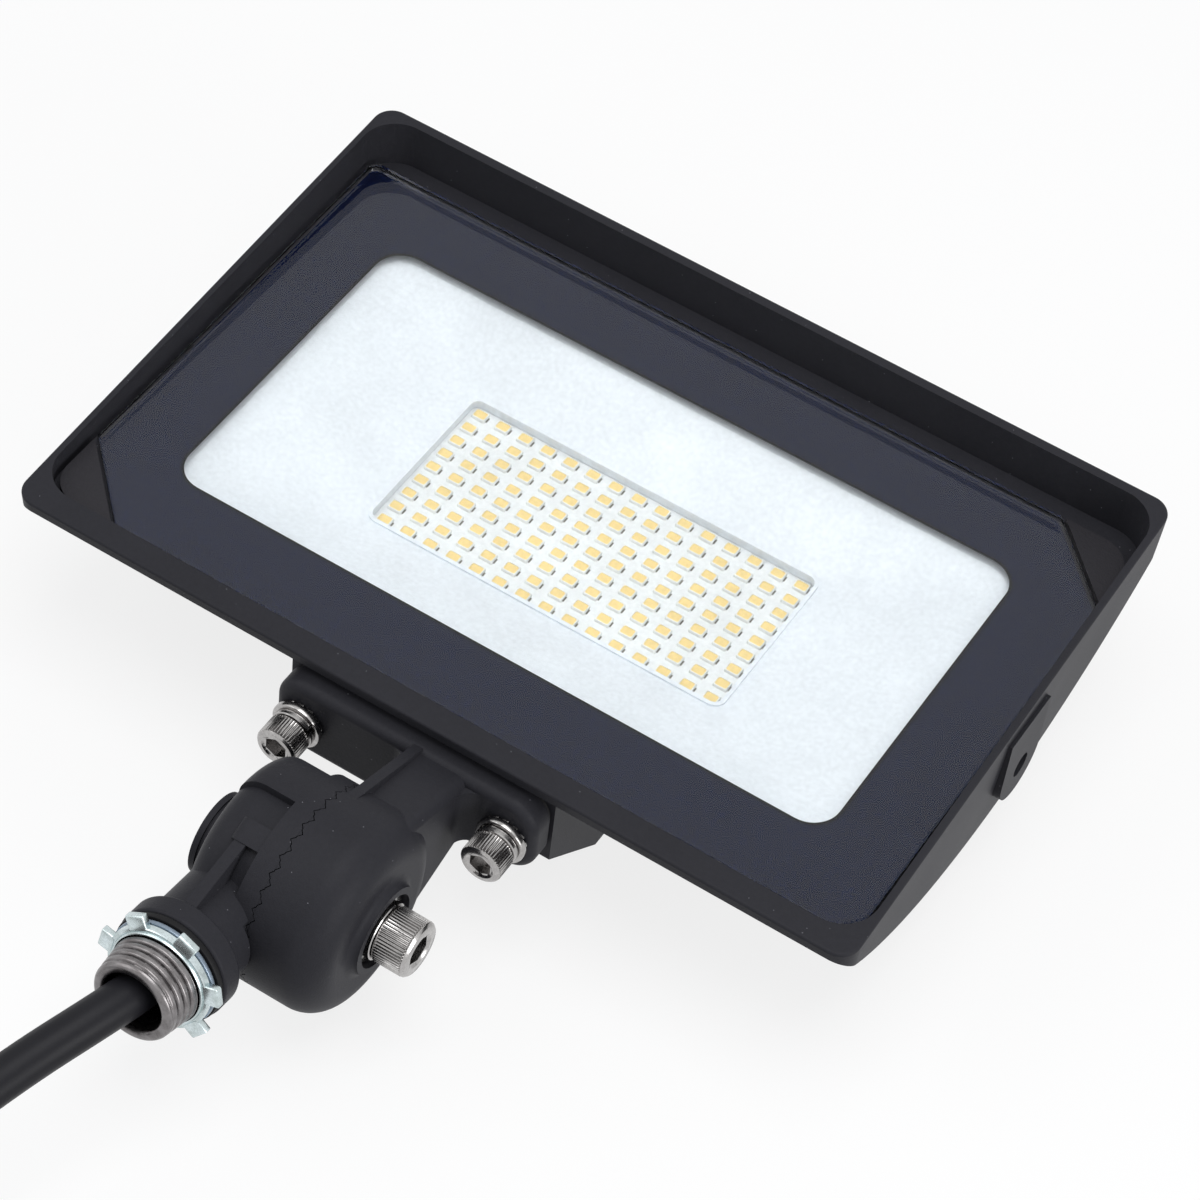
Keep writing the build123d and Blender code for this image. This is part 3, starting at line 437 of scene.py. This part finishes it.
def tube_curve(name, routes, diameter, material, resolution=6):
    """Smooth round tubes along routes in millimetres."""
    curve = bpy.data.curves.new(name, "CURVE")
    curve.dimensions = "3D"
    curve.bevel_depth = diameter * MM / 2
    curve.bevel_resolution = resolution
    curve.use_fill_caps = True
    curve.resolution_u = 8
    for route in routes:
        spline = curve.splines.new("NURBS")
        spline.points.add(len(route) - 1)
        for slot, point in zip(spline.points, route):
            slot.co = (*(Vector(point) * MM), 1.0)
        spline.order_u = 3
        spline.use_endpoint_u = True
    curve.materials.append(material)
    tube = bpy.data.objects.new(name, curve)
    bpy.context.scene.collection.objects.link(tube)
    return tube


# Pieces

# Route of the supply cord, in metres, and the centreline radii of its coil
CORD_ROUTE = [
    (-0.0112, -0.1183, 0.0383),
    (-0.0187, -0.1400, 0.0366),
    (-0.0264, -0.1635, 0.0312),
    (-0.0326, -0.1865, 0.0216),
    (-0.0368, -0.2090, 0.0109),
    (-0.0385, -0.2300, 0.00465),
]
COIL_RADII = (62.0, 57.0, 52.0, 46.5)
COIL_X, COIL_Y = -38.5, -257.0
# The stripped wires: distance between them, bend of the middle one and length of the tail
WIRE_SPACING, WIRE_BEND, WIRE_TAIL = 2.7, 11.0, 14.0
# Distances from the hub along the nipple, from and to where there are two
NIPPLE_FOOT, GROMMET_FOOT = 24.5, 26.0
CORD_START, CORD_STRAIGHT = 31.0, 39.5
SEAL_BAND = (36.32, 37.9)
PLATED_WASHER = (38.2, 39.25)
THREAD_START, THREAD_LENGTH = 41.75, 7.35
# Tooth tips: inner and outer radius. Packed teeth: radius of the rim and depth of a tooth there
TIP_RADII, RIM_RADIUS, RIM_DEPTH = (16.4, 23.46), 23.5, 0.875
# Distance of a bracket screw from the middle
BRACKET_SCREW_X = 26.0


class FLOOD_OT_cord(Operator):
    """Supply cord with its coil, its grommet and its stripped conductors"""

    bl_idname = "flood.cord"
    bl_label = "Cord"

    def execute(self, context):
        diameter = sizes().cord_diameter / MM
        lay = diameter / 2
        points = [HUB + NIPPLE_AXIS * CORD_START, HUB + NIPPLE_AXIS * CORD_STRAIGHT]
        points += [Vector(p) / MM for p in CORD_ROUTE]
        points.append(Vector((COIL_X, COIL_Y + diameter, lay)))
        x = COIL_X
        for turn, radius in enumerate(COIL_RADII):
            inward = -1 if turn % 2 == 0 else 1
            centre = x + inward * radius
            # Twelve points to a half turn, outside it by so much that the smooth line runs along it
            reach = radius / cos(pi / 24)
            for i in range(12):
                angle = pi * (i + 0.5) / 12
                points.append(Vector((
                    centre - inward * reach * cos(angle), COIL_Y + inward * reach * sin(angle), lay)))
            x += inward * 2 * radius
        points.append(Vector((x, COIL_Y - diameter, lay)))
        rubber = grainy("cord rubber", colours().cord, 0.42, grain=1800.0, bump=0.12, specular=0.12)
        cord = tube_curve("supply_cord_jacket", [points], diameter, rubber)
        settled(cord, "base", ("supply_cord", "cord_coil"))
        pieces = self.conductors(x, lay, diameter)
        bm = bmesh.new()
        turned(bm, NIPPLE_FRAME, soft_ring(lay - 0.9, 6.95, GROMMET_FOOT, CORD_START, 0.5))
        grommet = piece_of("grommet", bm, "base", rubber, replaces=("cord_grommet",))
        return {"FINISHED"}

    def conductors(self, x, lay, diameter):
        """Three insulated wires that leave the jacket and curl onto the floor, with bare copper ends."""
        kinds = (
            (-1, "black", (0.02, 0.02, 0.02)),
            (0, "green", (0.03, 0.25, 0.07)),
            (1, "white", (0.8, 0.8, 0.78)),
        )
        copper = metallic("copper strands", (0.80, 0.42, 0.26), (0.45, 0.22, 0.14), 0.35)
        top = COIL_Y - diameter
        pieces, ends = [], []
        for step, name, tint in kinds:
            left = x + step * WIRE_SPACING
            bend = WIRE_BEND + step * WIRE_SPACING
            far = left - bend - WIRE_TAIL
            route = [
                (left, top + 1.0, lay), (left, top - 4.0, lay - 0.3), (left, top - bend, 2.4),
                (left - bend * 0.6, top - bend - 1.5, 1.25), (far, top - bend - 1.5, 1.25),
            ]
            plastic = grainy(f"{name} insulation", tint, 0.4, bump=0.05)
            wire = tube_curve(f"conductor_{name}", [route], 2.4, plastic, resolution=4)
            pieces.append(settled(wire, "base", ("cord_conductors",)))
            ends.append([
                (far + 1.0, top - bend - 1.5, 1.25), (far - 2.5, top - bend - 1.4, 1.2),
                (far - 6.0, top - bend - 1.6, 1.15)])
        bare = tube_curve("conductor_ends", ends, 1.3, copper, resolution=3)
        pieces.append(settled(bare, "base"))
        return pieces


class FLOOD_OT_castings(Operator):
    """Powder coats the housing and the knuckle halves, and textures the corner covers"""

    bl_idname = "flood.castings"
    bl_label = "Castings"

    def execute(self, context):
        coat = grainy("powder coat", colours().coat, 0.46, grain=2200.0, bump=0.3, specks=1.0, specular=0.08)
        for name in ("housing", "knuckle_arm", "knuckle_base"):
            coat_node(name, coat)
        cover = grainy(
            "cover plastic", colours().cover, 0.6, grain=1400.0, bump=0.8, specks=0.6, specular=0.2)
        for name in ("corner_cover_left", "corner_cover_right"):
            coat_node(name, cover)
        for side, body in ((1, "head"), (-1, "base")):
            bm = bmesh.new()
            self.tooth_tips(bm, side)
            piece_of(f"tooth_tips_{body}", bm, body, coat)
        return {"FINISHED"}

    def tooth_tips(self, bm, side):
        """Pointed tips of the teeth, which reach into the grooves of the other half."""
        step = 360 / sizes().teeth
        gap = sizes().tooth_gap / MM
        for tooth in range(sizes().teeth):
            middle = step * (tooth + (0.5 if side > 0 else 0.0))
            rings = []
            for radius in TIP_RADII:
                depth = RIM_DEPTH * radius / RIM_RADIUS
                half = radius * tan(radians(step / 4))
                slope = half / depth
                reach = depth - gap * sqrt(1 + slope**2) / slope
                foot = (reach + 0.2) * slope
                swing = foot / radius
                points = []
                for turn, x in ((-swing, 0.2), (swing, 0.2), (0.0, -reach)):
                    angle = radians(middle) + turn
                    points.append(PIVOT + Vector((side * x, radius * cos(angle), radius * sin(angle))))
                rings.append(points)
            skin(bm, rings)


class FLOOD_OT_glass(Operator):
    """Glass pane with ground edges over a dark printed border, a painted shadow ring round the window, and the
    gaskets
    """

    bl_idname = "flood.glass"
    bl_label = "Glass"

    def execute(self, context):
        bottom, top = GLASS_LOW.z + 0.12, GLASS_HIGH.z
        chamfer = sizes().glass_chamfer / MM
        bm = bmesh.new()
        skin(bm, [
            at_height(self.outline(inset), z) for inset, z in (
                (chamfer, bottom), (0.0, bottom + chamfer), (0.0, top - chamfer), (chamfer, top))])
        piece_of("glass_pane", bm, "head", clear_glass(), replaces=("glass_lens",), smooth=20)
        ink = grainy("glass print", colours().ink, 0.5, bump=0.02, specular=0.0, spread=0.06)
        # The near-black ring along the window's edge is painted shadow: it stands for the shadow gap under the
        # print's edge, down to the reflector
        line = grainy("painted shadow ring", (0.002, 0.002, 0.002), 0.4, bump=0.0, specular=0.0)
        window = [
            rounded_rectangle(
                (0, HEAD_Y), sizes().window_length / MM + 2 * more, sizes().window_depth / MM + 2 * more,
                sizes().window_corner / MM + more, 10)
            for more in (0.0, 0.7)]
        bm = bmesh.new()
        slab(bm, (self.outline(0.6), window[1]), GLASS_LOW.z + 0.02, GLASS_LOW.z + 0.08)
        piece_of("glass_print", bm, "head", ink)
        # Painted shadow ring, 0.7 mm wide, round the clear window
        bm = bmesh.new()
        slab(bm, (window[1], window[0]), GLASS_LOW.z + 0.02, GLASS_LOW.z + 0.08)
        piece_of("painted_shadow_ring", bm, "head", line)
        self.gaskets()
        return {"FINISHED"}

    def outline(self, inset):
        """Outline of the glass: two corners clipped, one barely rounded, one well rounded."""
        x, y0, y1 = GLASS_HIGH.x - inset, GLASS_LOW.y + inset, GLASS_HIGH.y - inset
        clip = 19.0 - inset * 0.6
        small, large = 2.5, 8.0
        turn = [pi / 2 * i / 10 for i in range(11)]
        points = [(x, y1 - clip), (x - clip, y1)]
        points += [(-x + small - small * sin(a), y1 - small + small * cos(a)) for a in turn]
        points += [(-x, y0 + clip), (-x + clip, y0)]
        points += [(x - large + large * sin(a), y0 + large - large * cos(a)) for a in turn]
        return points

    def gaskets(self):
        """Silicone seal under the glass and rubber pad under the bracket."""
        silicone = grainy("silicone", (0.02, 0.02, 0.021), 0.6, bump=0.1, specular=0.3)
        low, high = box_mm("glass_gasket")
        size = high - low
        rings = []
        for inset, z in (
            (0.0, low.z + 0.3), (0.0, high.z - 0.3), (0.3, high.z), (4.7, high.z),
            (5.0, high.z - 0.3), (5.0, low.z + 0.3), (4.7, low.z), (0.3, low.z),
        ):
            wide, deep = size.x - 2 * inset, size.y - 2 * inset
            rings.append(at_height(rounded_rectangle((0, GLASS_Y), wide, deep, 26.0 - inset, 12), z))
        bm = bmesh.new()
        skin(bm, rings, closed=True)
        piece_of("glass_seal", bm, "head", silicone, replaces=("glass_gasket",))
        low, high = box_mm("bracket_gasket")
        place = local_frame(((low.x + high.x) / 2, high.y, PIVOT.z), (0, -1, 0))
        # Two screw holes and the wire bore
        holes = [
            [(x + r * cos(2 * pi * i / 24), r * sin(2 * pi * i / 24)) for i in range(24)]
            for x, r in ((-BRACKET_SCREW_X, 3.3), (BRACKET_SCREW_X, 3.3), (9.3, 4.5))]
        bm = bmesh.new()
        outline = rounded_rectangle((0, 0), high.x - low.x, high.z - low.z, 6.5, 8)
        slab(bm, (outline, *holes), 0.0, high.y - low.y, place)
        piece_of("bracket_pad", bm, "head", silicone, replaces=("bracket_gasket",))


# Grid of the chips
CHIP_COLUMNS, CHIP_ROWS = 15, 9
CHIP_PITCH_X, CHIP_PITCH_Y = 6.10, 4.87


class FLOOD_OT_light_engine(Operator):
    """Reflector, board, chips, screws, driver and leads"""

    bl_idname = "flood.light_engine"
    bl_label = "Light engine"

    def execute(self, context):
        tints = colours()
        coat_node("reflector", grainy("reflector white", tints.reflector, 0.4, grain=900.0, bump=0.02))
        coat_node("led_board", grainy("board lacquer", tints.board, 0.5, bump=0.05))
        coat_node("board_screws", metallic("small screw", tints.steel, (0.3, 0.3, 0.3), 0.35))
        coat_node("driver", grainy("driver case", (0.7, 0.7, 0.68), 0.5))
        self.chips(tints)
        self.leads()
        return {"FINISHED"}

    def chips(self, tints):
        """White bodies with a yellow lens each, and off the +X end of each a dark mark on the board, which is
        painted shadow of the chip.
        """
        board = box_mm("led_board")[1].z
        bodies, lenses, shadow_marks = bmesh.new(), bmesh.new(), bmesh.new()
        for column in range(CHIP_COLUMNS):
            for row in range(CHIP_ROWS):
                x = (column - CHIP_COLUMNS // 2) * CHIP_PITCH_X
                y = HEAD_Y + (row - CHIP_ROWS // 2) * CHIP_PITCH_Y

                def outline(length, depth, radius, z):
                    return at_height(rounded_rectangle((x, y), length, depth, radius, 3), board + z)

                skin(bodies, [
                    outline(3.5, 2.8, 0.25, 0.0), outline(3.5, 2.8, 0.25, 0.72),
                    outline(3.3, 2.6, 0.3, 0.88), outline(3.06, 2.36, 0.5, 0.9),
                    outline(2.94, 2.24, 0.46, 0.78)], caps=(True, False))
                skin(lenses, [
                    outline(2.96, 2.26, 0.47, 0.76), outline(2.7, 2.0, 0.4, 0.84),
                    outline(1.6, 0.9, 0.3, 0.87)], caps=(False, True))
                # Dark mark off the +X end of each chip: painted shadow that the chip casts on the board
                near, far = x + 1.76, x + 2.12
                slab(shadow_marks, [[(near, y - 0.75), (far, y - 0.75), (far, y + 0.75), (near, y + 0.75)]],
                     board + 0.005, board + 0.07)
        white = grainy("chip body", tints.chip, 0.4, bump=0.02)
        piece_of("chip_bodies", bodies, "head", white, replaces=("led_chips",))
        phosphor = grainy("phosphor", tints.phosphor, 0.3, grain=5000.0, bump=0.08)
        piece_of("chip_lenses", lenses, "head", phosphor)
        piece_of("chip_shadow_marks", shadow_marks, "head", grainy("painted chip shadow", (0.16, 0.15, 0.13), 0.4))

    def leads(self):
        """Two leads from the driver up to the board."""
        low, high = box_mm("led_wires")
        red = grainy("lead", (0.5, 0.04, 0.03), 0.4, bump=0.05)
        routes = [
            [(x, high.y - 0.8, low.z), (x, high.y - 0.8, high.z - 4.0), (x, high.y - 0.8, high.z - 0.8),
             (x, high.y - 4.0, high.z - 0.8), (x, low.y, high.z - 0.8)] for x in (-4.0, 4.0)]
        if abs(low.y - HEAD_Y) < abs(high.y - HEAD_Y):
            routes = [[(x, low.y + high.y - y, z) for x, y, z in route] for route in routes]
        leads = tube_curve("board_leads", routes, 1.6, red, resolution=3)
        settled(leads, "head", ("led_wires",))


# Bracket stack, out from the plate: flat washer, spring washer, screw head and top of the head
FLAT_AT, SPRING_AT, HEAD_AT, STACK_TOP = 0.8, 2.4, 4.0, 10.0
# Length of the thread on every screw
THREADED = 9.0


class FLOOD_OT_fasteners(Operator):
    """Socket screws with knurled heads, and their washers"""

    bl_idname = "flood.fasteners"
    bl_label = "Fasteners"

    def execute(self, context):
        steel = metallic("bright steel", colours().steel, (0.2, 0.19, 0.185), 0.2, amount=0.3, bump=0.03)
        coat_node("clamp_nut", metallic("black steel", (0.03, 0.03, 0.03), (0.02, 0.02, 0.02), 0.45))
        front = box_mm("bracket_screws")[0].y
        stacks = {name: bmesh.new() for name in ("screws", "spring", "flat", "tooth")}
        for side in (-1, 1):
            place = local_frame((side * BRACKET_SCREW_X, front + STACK_TOP, PIVOT.z), (0, -1, 0))
            turned(stacks["flat"], place, soft_ring(3.3, 6.0, FLAT_AT, SPRING_AT, 0.3))
            self.tooth_washer(stacks["tooth"], place)
            split = 32.0 if side < 0 else 140.0
            self.spring_washer(stacks["spring"], place, 3.15, 5.1, SPRING_AT, HEAD_AT, split)
            seat = place @ Matrix.Translation((0, 0, HEAD_AT))
            self.socket_screw(
                stacks["screws"], seat, head=5.0, height=6.0, key=5.0, knurls=sizes().knurls,
                shank=3.0, reach=18.4)
        for name, node_name in (
            ("screws", "bracket_screws"), ("spring", "bracket_spring_washers"),
            ("flat", "bracket_flat_washers"), ("tooth", "bracket_tooth_washers"),
        ):
            piece_of(f"{node_name}_detailed", stacks[name], "head", steel, replaces=(node_name,))
        seat = box_mm("clamp_flat_washer")[0].x - PIVOT.x
        bm = bmesh.new()
        turned(bm, PIVOT_FRAME, soft_ring(4.3, 8.4, seat, seat + 1.5, 0.3))
        piece_of("clamp_flat_washer_detailed", bm, "head", steel, replaces=("clamp_flat_washer",))
        bm = bmesh.new()
        self.spring_washer(bm, PIVOT_FRAME, 4.2, 6.7, seat + 1.5, seat + 3.5, 60.0)
        piece_of(
            "clamp_spring_washer_detailed", bm, "head", steel, replaces=("clamp_spring_washer",))
        bm = bmesh.new()
        place = PIVOT_FRAME @ Matrix.Translation((0, 0, seat + 3.55))
        self.socket_screw(
            bm, place, head=6.5, height=8.0, key=6.0, knurls=sizes().knurls + 10,
            shank=4.0, reach=45.0, thread=1.25)
        piece_of("clamp_socket_screw", bm, "clamp_screw", steel, replaces=("clamp_screw",))
        return {"FINISHED"}

    def spring_washer(self, bm, place, inner, outer, low, high, degrees):
        """Split washer whose ends stand a little apart."""
        rings = []
        rise = (high - low) * 0.12
        for i in range(61):
            angle = degrees + 3.0 + 354.0 * i / 60
            shift = rise * (i / 60 - 0.5)
            middle = (low + high) / 2 + shift
            half = (high - low) / 2 - rise / 2
            ring = []
            for r, z in ((inner, -half), (inner, half), (outer - 0.2, half), (outer, half - 0.2),
                         (outer, 0.2 - half), (outer - 0.2, -half)):
                ring.append(polar(place, r, angle, middle + z))
            rings.append(ring)
        skin(bm, rings)

    def tooth_washer(self, bm, place):
        """Toothed lock washer: a thin ring with twisted teeth."""
        turned(bm, place, [(3.3, 0.15), (3.3, 0.65), (4.4, 0.65), (4.4, 0.15)], count=48)
        for tooth in range(14):
            middle = 360 / 14 * (tooth + 0.5)
            corners = []
            for lift in (0.0, 0.45):
                corners += [
                    polar(place, 4.3, middle - 8, 0.17 + lift), polar(place, 4.3, middle + 8, 0.17 + lift),
                    polar(place, 5.6, middle + 7, 0.33 + lift), polar(place, 5.6, middle - 7, 0.02 + lift)]
            block(bm, corners, 0.06, 1)

    def socket_screw(self, bm, place, head, height, key, knurls, shank, reach, thread=1.0):
        """Socket head cap screw: Z points out of the head, and Z = 0 lies under the head."""
        count = knurls * 4
        chamfer = 0.05 * head + 0.3

        def knurled(angle):
            return head - (0.38 if int(angle / (2 * pi) * count + 0.5) % 4 >= 2 else 0.0)

        mouth = key / sqrt(3)
        stations = [
            (shank, 0.0), (head - 0.45, 0.0), (head - 0.3, 0.3), (knurled, 0.5), (knurled, height * 0.86),
            (head - 0.32, height * 0.88), (head - 0.12, height * 0.9), (head - 0.12, height - chamfer),
            (head - 0.12 - chamfer * 0.75, height - 0.1), (head - 0.3 - chamfer * 0.75, height),
            (mouth + 0.55, height), (mouth + 0.05, height - 0.4),
        ]
        rings = [circle(place, radius, z, count) for radius, z in stations]

        def hexagonal(angle):
            return key / 2 / cos((angle + pi / 6) % (pi / 3) - pi / 6)

        rings += [circle(place, hexagonal, z, count) for z in (height - 0.45, height * 0.48)]
        skin(bm, rings, caps=(False, True))
        # The thread is cut into the last stretch of the shank
        plain = reach - THREADED
        rings = [circle(place, shank, 0.0, 48), circle(place, shank, -plain, 48)]
        steps = int(THREADED / thread * 8)
        for i in range(1, steps + 1):
            z = plain + THREADED * i / steps
            ease = min(1.0, (reach - z) / 0.8)

            def threaded(angle):
                turn = (z / thread + angle / (2 * pi)) % 1.0
                cut = 0.6 * thread * (1 - abs(2 * turn - 1))
                return shank - max(cut * min(1.0, i / 8), 0.7 * (1 - ease))

            rings.append(circle(place, threaded, -z, 48))
        skin(bm, rings, caps=(False, True))


class FLOOD_OT_nipple(Operator):
    """Threaded nipple, seal band, plated washer and locknut with bent lugs"""

    bl_idname = "flood.nipple"
    bl_label = "Nipple"

    def execute(self, context):
        tints = colours()
        bm = bmesh.new()
        self.threaded_tube(bm)
        bare = metallic("bare nipple", tints.nipple, (0.10, 0.09, 0.09), 0.3, amount=0.6, bump=0.2,
                        stretch=(0.12, 1.0, 0.12), streak=0.3)
        piece_of("threaded_nipple", bm, "base", bare, replaces=("nipple",), smooth=50)
        band = grainy("seal band", (0.008, 0.008, 0.009), 0.5, bump=0.05, specular=0.15)
        bm = bmesh.new()
        turned(bm, NIPPLE_FRAME, soft_ring(10.12, 12.95, *SEAL_BAND, 0.4))
        piece_of("seal_band", bm, "base", band, replaces=("seal_washer",))
        plated = metallic("plated washer", tints.washer, (0.15, 0.18, 0.22), 0.35)
        bm = bmesh.new()
        turned(bm, NIPPLE_FRAME, soft_ring(10.6, 12.55, *PLATED_WASHER, 0.2))
        piece_of("plated_washer", bm, "locknut", plated, replaces=("locknut",))
        bm = bmesh.new()
        self.locknut(bm)
        zinc = metallic("zinc plate", tints.zinc, (0.36, 0.42, 0.40), 0.26, amount=0.6)
        piece_of("stamped_locknut", bm, "locknut", zinc, replaces=("locknut",))
        return {"FINISHED"}

    def threaded_tube(self, bm):
        """Nipple with a tapered, worn pipe thread and a rounded mouth."""
        pitch = sizes().thread_pitch / MM
        depth = sizes().thread_depth / MM
        rings = [circle(NIPPLE_FRAME, 10.0, s, 96) for s in (NIPPLE_FOOT, 41.6)]
        taper, steps = 0.125, 60
        for i in range(steps + 1):
            s = THREAD_START + THREAD_LENGTH * i / steps
            crest = 10.42 - taper * (s - THREAD_START)

            def threaded(angle):
                turn = (s / pitch + angle / (2 * pi)) % 1.0
                ease = min(1.0, i / 6) * min(1.0, (steps - i) / 8)
                return crest - depth * ease * abs(cos(pi * turn)) ** 9

            rings.append(circle(NIPPLE_FRAME, threaded, s, 96))
        # Rounded mouth, then the bore
        for radius, s in (
            (9.4, 49.35), (9.2, 49.65), (8.9, 49.87), (8.5, 49.98), (7.7, 49.95), (7.25, 49.7),
            (7.02, 49.2), (7.0, 48.0), (7.0, NIPPLE_FOOT),
        ):
            rings.append(circle(NIPPLE_FRAME, radius, s, 96))
        skin(bm, rings, closed=True)

    def locknut(self, bm):
        """Stamped ring with a raised inner lip, and lugs that stand out and lean back."""
        reach = sizes().lug_reach / MM
        turned(bm, NIPPLE_FRAME, [
            (10.55, 39.3), (10.55, 41.2), (10.7, 41.4), (11.0, 41.4), (11.12, 41.2), (11.2, 40.95),
            (12.05, 41.1), (12.25, 40.9), (12.25, 39.5), (12.05, 39.3)], count=112)
        # Uneven spacing, fitted to the five lugs that the photograph shows
        step = 360 / sizes().lugs
        for lug in range(sizes().lugs):
            middle = 16.0 + lug * step + 2.6 * sin(radians(lug * step - 40))
            corners = []
            for s in (39.35, 41.15):
                for radius, turn, lean in (
                    (11.5, -12, 0.0), (11.5, 12, 0.0), (reach, 9.2, 0.25), (reach, -9.2, 0.25),
                ):
                    corners.append(polar(NIPPLE_FRAME, radius, middle + turn, s - lean))
            block(bm, corners, 0.35, 3)


class FLOOD_OT_studio(Operator):
    """Pale floor, soft lights, world and camera"""

    bl_idname = "flood.studio"
    bl_label = "Studio"

    def execute(self, context):
        scene = context.scene
        scene.view_settings.view_transform = "Standard"
        self.floor(scene)
        self.world(scene)
        self.lamp("key", (0.15, -0.05, 1.2), (0, 0.0, 0.03), 0.8, 7.2)
        self.lamp("fill", (-0.9, -0.5, 0.9), (0, -0.05, 0.03), 0.9, 4.0)
        self.lamp("edge", (1.1, -0.2, 0.3), (0, 0.0, 0.03), 0.6, 6.0)
        data = bpy.data.cameras.new("camera")
        data.sensor_width = 36.0
        data.lens = 120.45
        data.clip_start = 0.01
        # Lens, axes and place of a camera fitted to the photograph, the place in metres
        camera = bpy.data.objects.new("camera", data)
        right = Vector((0.8426177, 0.53144756, 0.08694196))
        down = Vector((0.4577563, -0.62182314, -0.63544878))
        forward = Vector((-0.28364518, 0.57523862, -0.76723265))
        rotation = Matrix((right, -down, -forward)).transposed()
        place = Vector((0.25939, -0.51922 + HEAD_Y * MM, 0.70911))
        camera.matrix_world = Matrix.Translation(place) @ rotation.to_4x4()
        scene.collection.objects.link(camera)
        scene.camera = camera
        return {"FINISHED"}

    def sighted(self, tree):
        """1 for a ray from the camera, a gloss or through glass, and 0 for light on the object."""
        path = tree.nodes.new("ShaderNodeLightPath")
        straight = maths(tree, "MAXIMUM", path.outputs["Is Camera Ray"], path.outputs["Is Glossy Ray"])
        return maths(tree, "MAXIMUM", straight, path.outputs["Is Transmission Ray"])

    def floor(self, scene):
        bm = bmesh.new()
        bmesh.ops.create_grid(bm, x_segments=1, y_segments=1, size=3.0)
        mesh = bpy.data.meshes.new("floor")
        bm.to_mesh(mesh)
        bm.free()
        material, tree, output = new_material("pale floor")
        seen = self.sighted(tree)
        plain = tree.nodes.new("ShaderNodeBsdfDiffuse")
        shade = blend_colours(tree, seen, (0.35, 0.35, 0.36, 1), (0.95, 0.95, 0.95, 1))
        tree.links.new(shade, plain.inputs["Color"])
        glow = node(tree, "ShaderNodeEmission", Color=(1, 1, 1, 1), Strength=1.0)
        mix = tree.nodes.new("ShaderNodeMixShader")
        tree.links.new(maths(tree, "MULTIPLY", seen, 0.8), mix.inputs["Fac"])
        tree.links.new(plain.outputs[0], mix.inputs[1])
        tree.links.new(glow.outputs[0], mix.inputs[2])
        tree.links.new(mix.outputs[0], output.inputs["Surface"])
        mesh.materials.append(material)
        floor = bpy.data.objects.new("floor", mesh)
        floor.location.z = -0.0002
        scene.collection.objects.link(floor)

    def world(self, scene):
        world = bpy.data.worlds.new("studio")
        scene.world = world
        world.use_nodes = True
        tree = world.node_tree
        tree.nodes.clear()
        output = tree.nodes.new("ShaderNodeOutputWorld")
        light = node(tree, "ShaderNodeBackground", Color=(0.95, 0.97, 1.0, 1), Strength=0.37)
        sight = node(tree, "ShaderNodeBackground", Color=(1, 1, 1, 1), Strength=1.0)
        mix = tree.nodes.new("ShaderNodeMixShader")
        tree.links.new(self.sighted(tree), mix.inputs["Fac"])
        tree.links.new(light.outputs[0], mix.inputs[1])
        tree.links.new(sight.outputs[0], mix.inputs[2])
        tree.links.new(mix.outputs[0], output.inputs["Surface"])

    def lamp(self, name, place, target, size, power):
        data = bpy.data.lights.new(name, "AREA")
        data.shape = "SQUARE"
        data.size = size
        data.energy = power
        lamp = bpy.data.objects.new(name, data)
        lamp.location = place
        lamp.rotation_euler = (Vector(target) - Vector(place)).to_track_quat("-Z", "Y").to_euler()
        bpy.context.scene.collection.objects.link(lamp)


class FLOOD_PT_panel(Panel):
    """Lists the pieces of the flood light"""

    bl_idname = "FLOOD_PT_panel"
    bl_label = "Flood light"
    bl_space_type = "VIEW_3D"
    bl_region_type = "UI"
    bl_category = "Flood light"

    def draw(self, context):
        column = self.layout.column()
        for operator in OPERATORS:
            column.operator(operator.bl_idname)


OPERATORS = (
    FLOOD_OT_studio, FLOOD_OT_cord, FLOOD_OT_castings, FLOOD_OT_glass, FLOOD_OT_light_engine,
    FLOOD_OT_fasteners, FLOOD_OT_nipple,
)
CLASSES = (FloodSizes, FloodColours, *OPERATORS, FLOOD_PT_panel)


def register():
    for cls in CLASSES:
        bpy.utils.register_class(cls)
    bpy.types.Scene.flood_sizes = PointerProperty(type=FloodSizes)
    bpy.types.Scene.flood_colours = PointerProperty(type=FloodColours)


def unregister():
    del bpy.types.Scene.flood_colours
    del bpy.types.Scene.flood_sizes
    for cls in reversed(CLASSES):
        bpy.utils.unregister_class(cls)


def main():
    register()
    for operator in OPERATORS:
        group, name = operator.bl_idname.split(".")
        getattr(getattr(bpy.ops, group), name)()


if __name__ == "__main__":
    main()
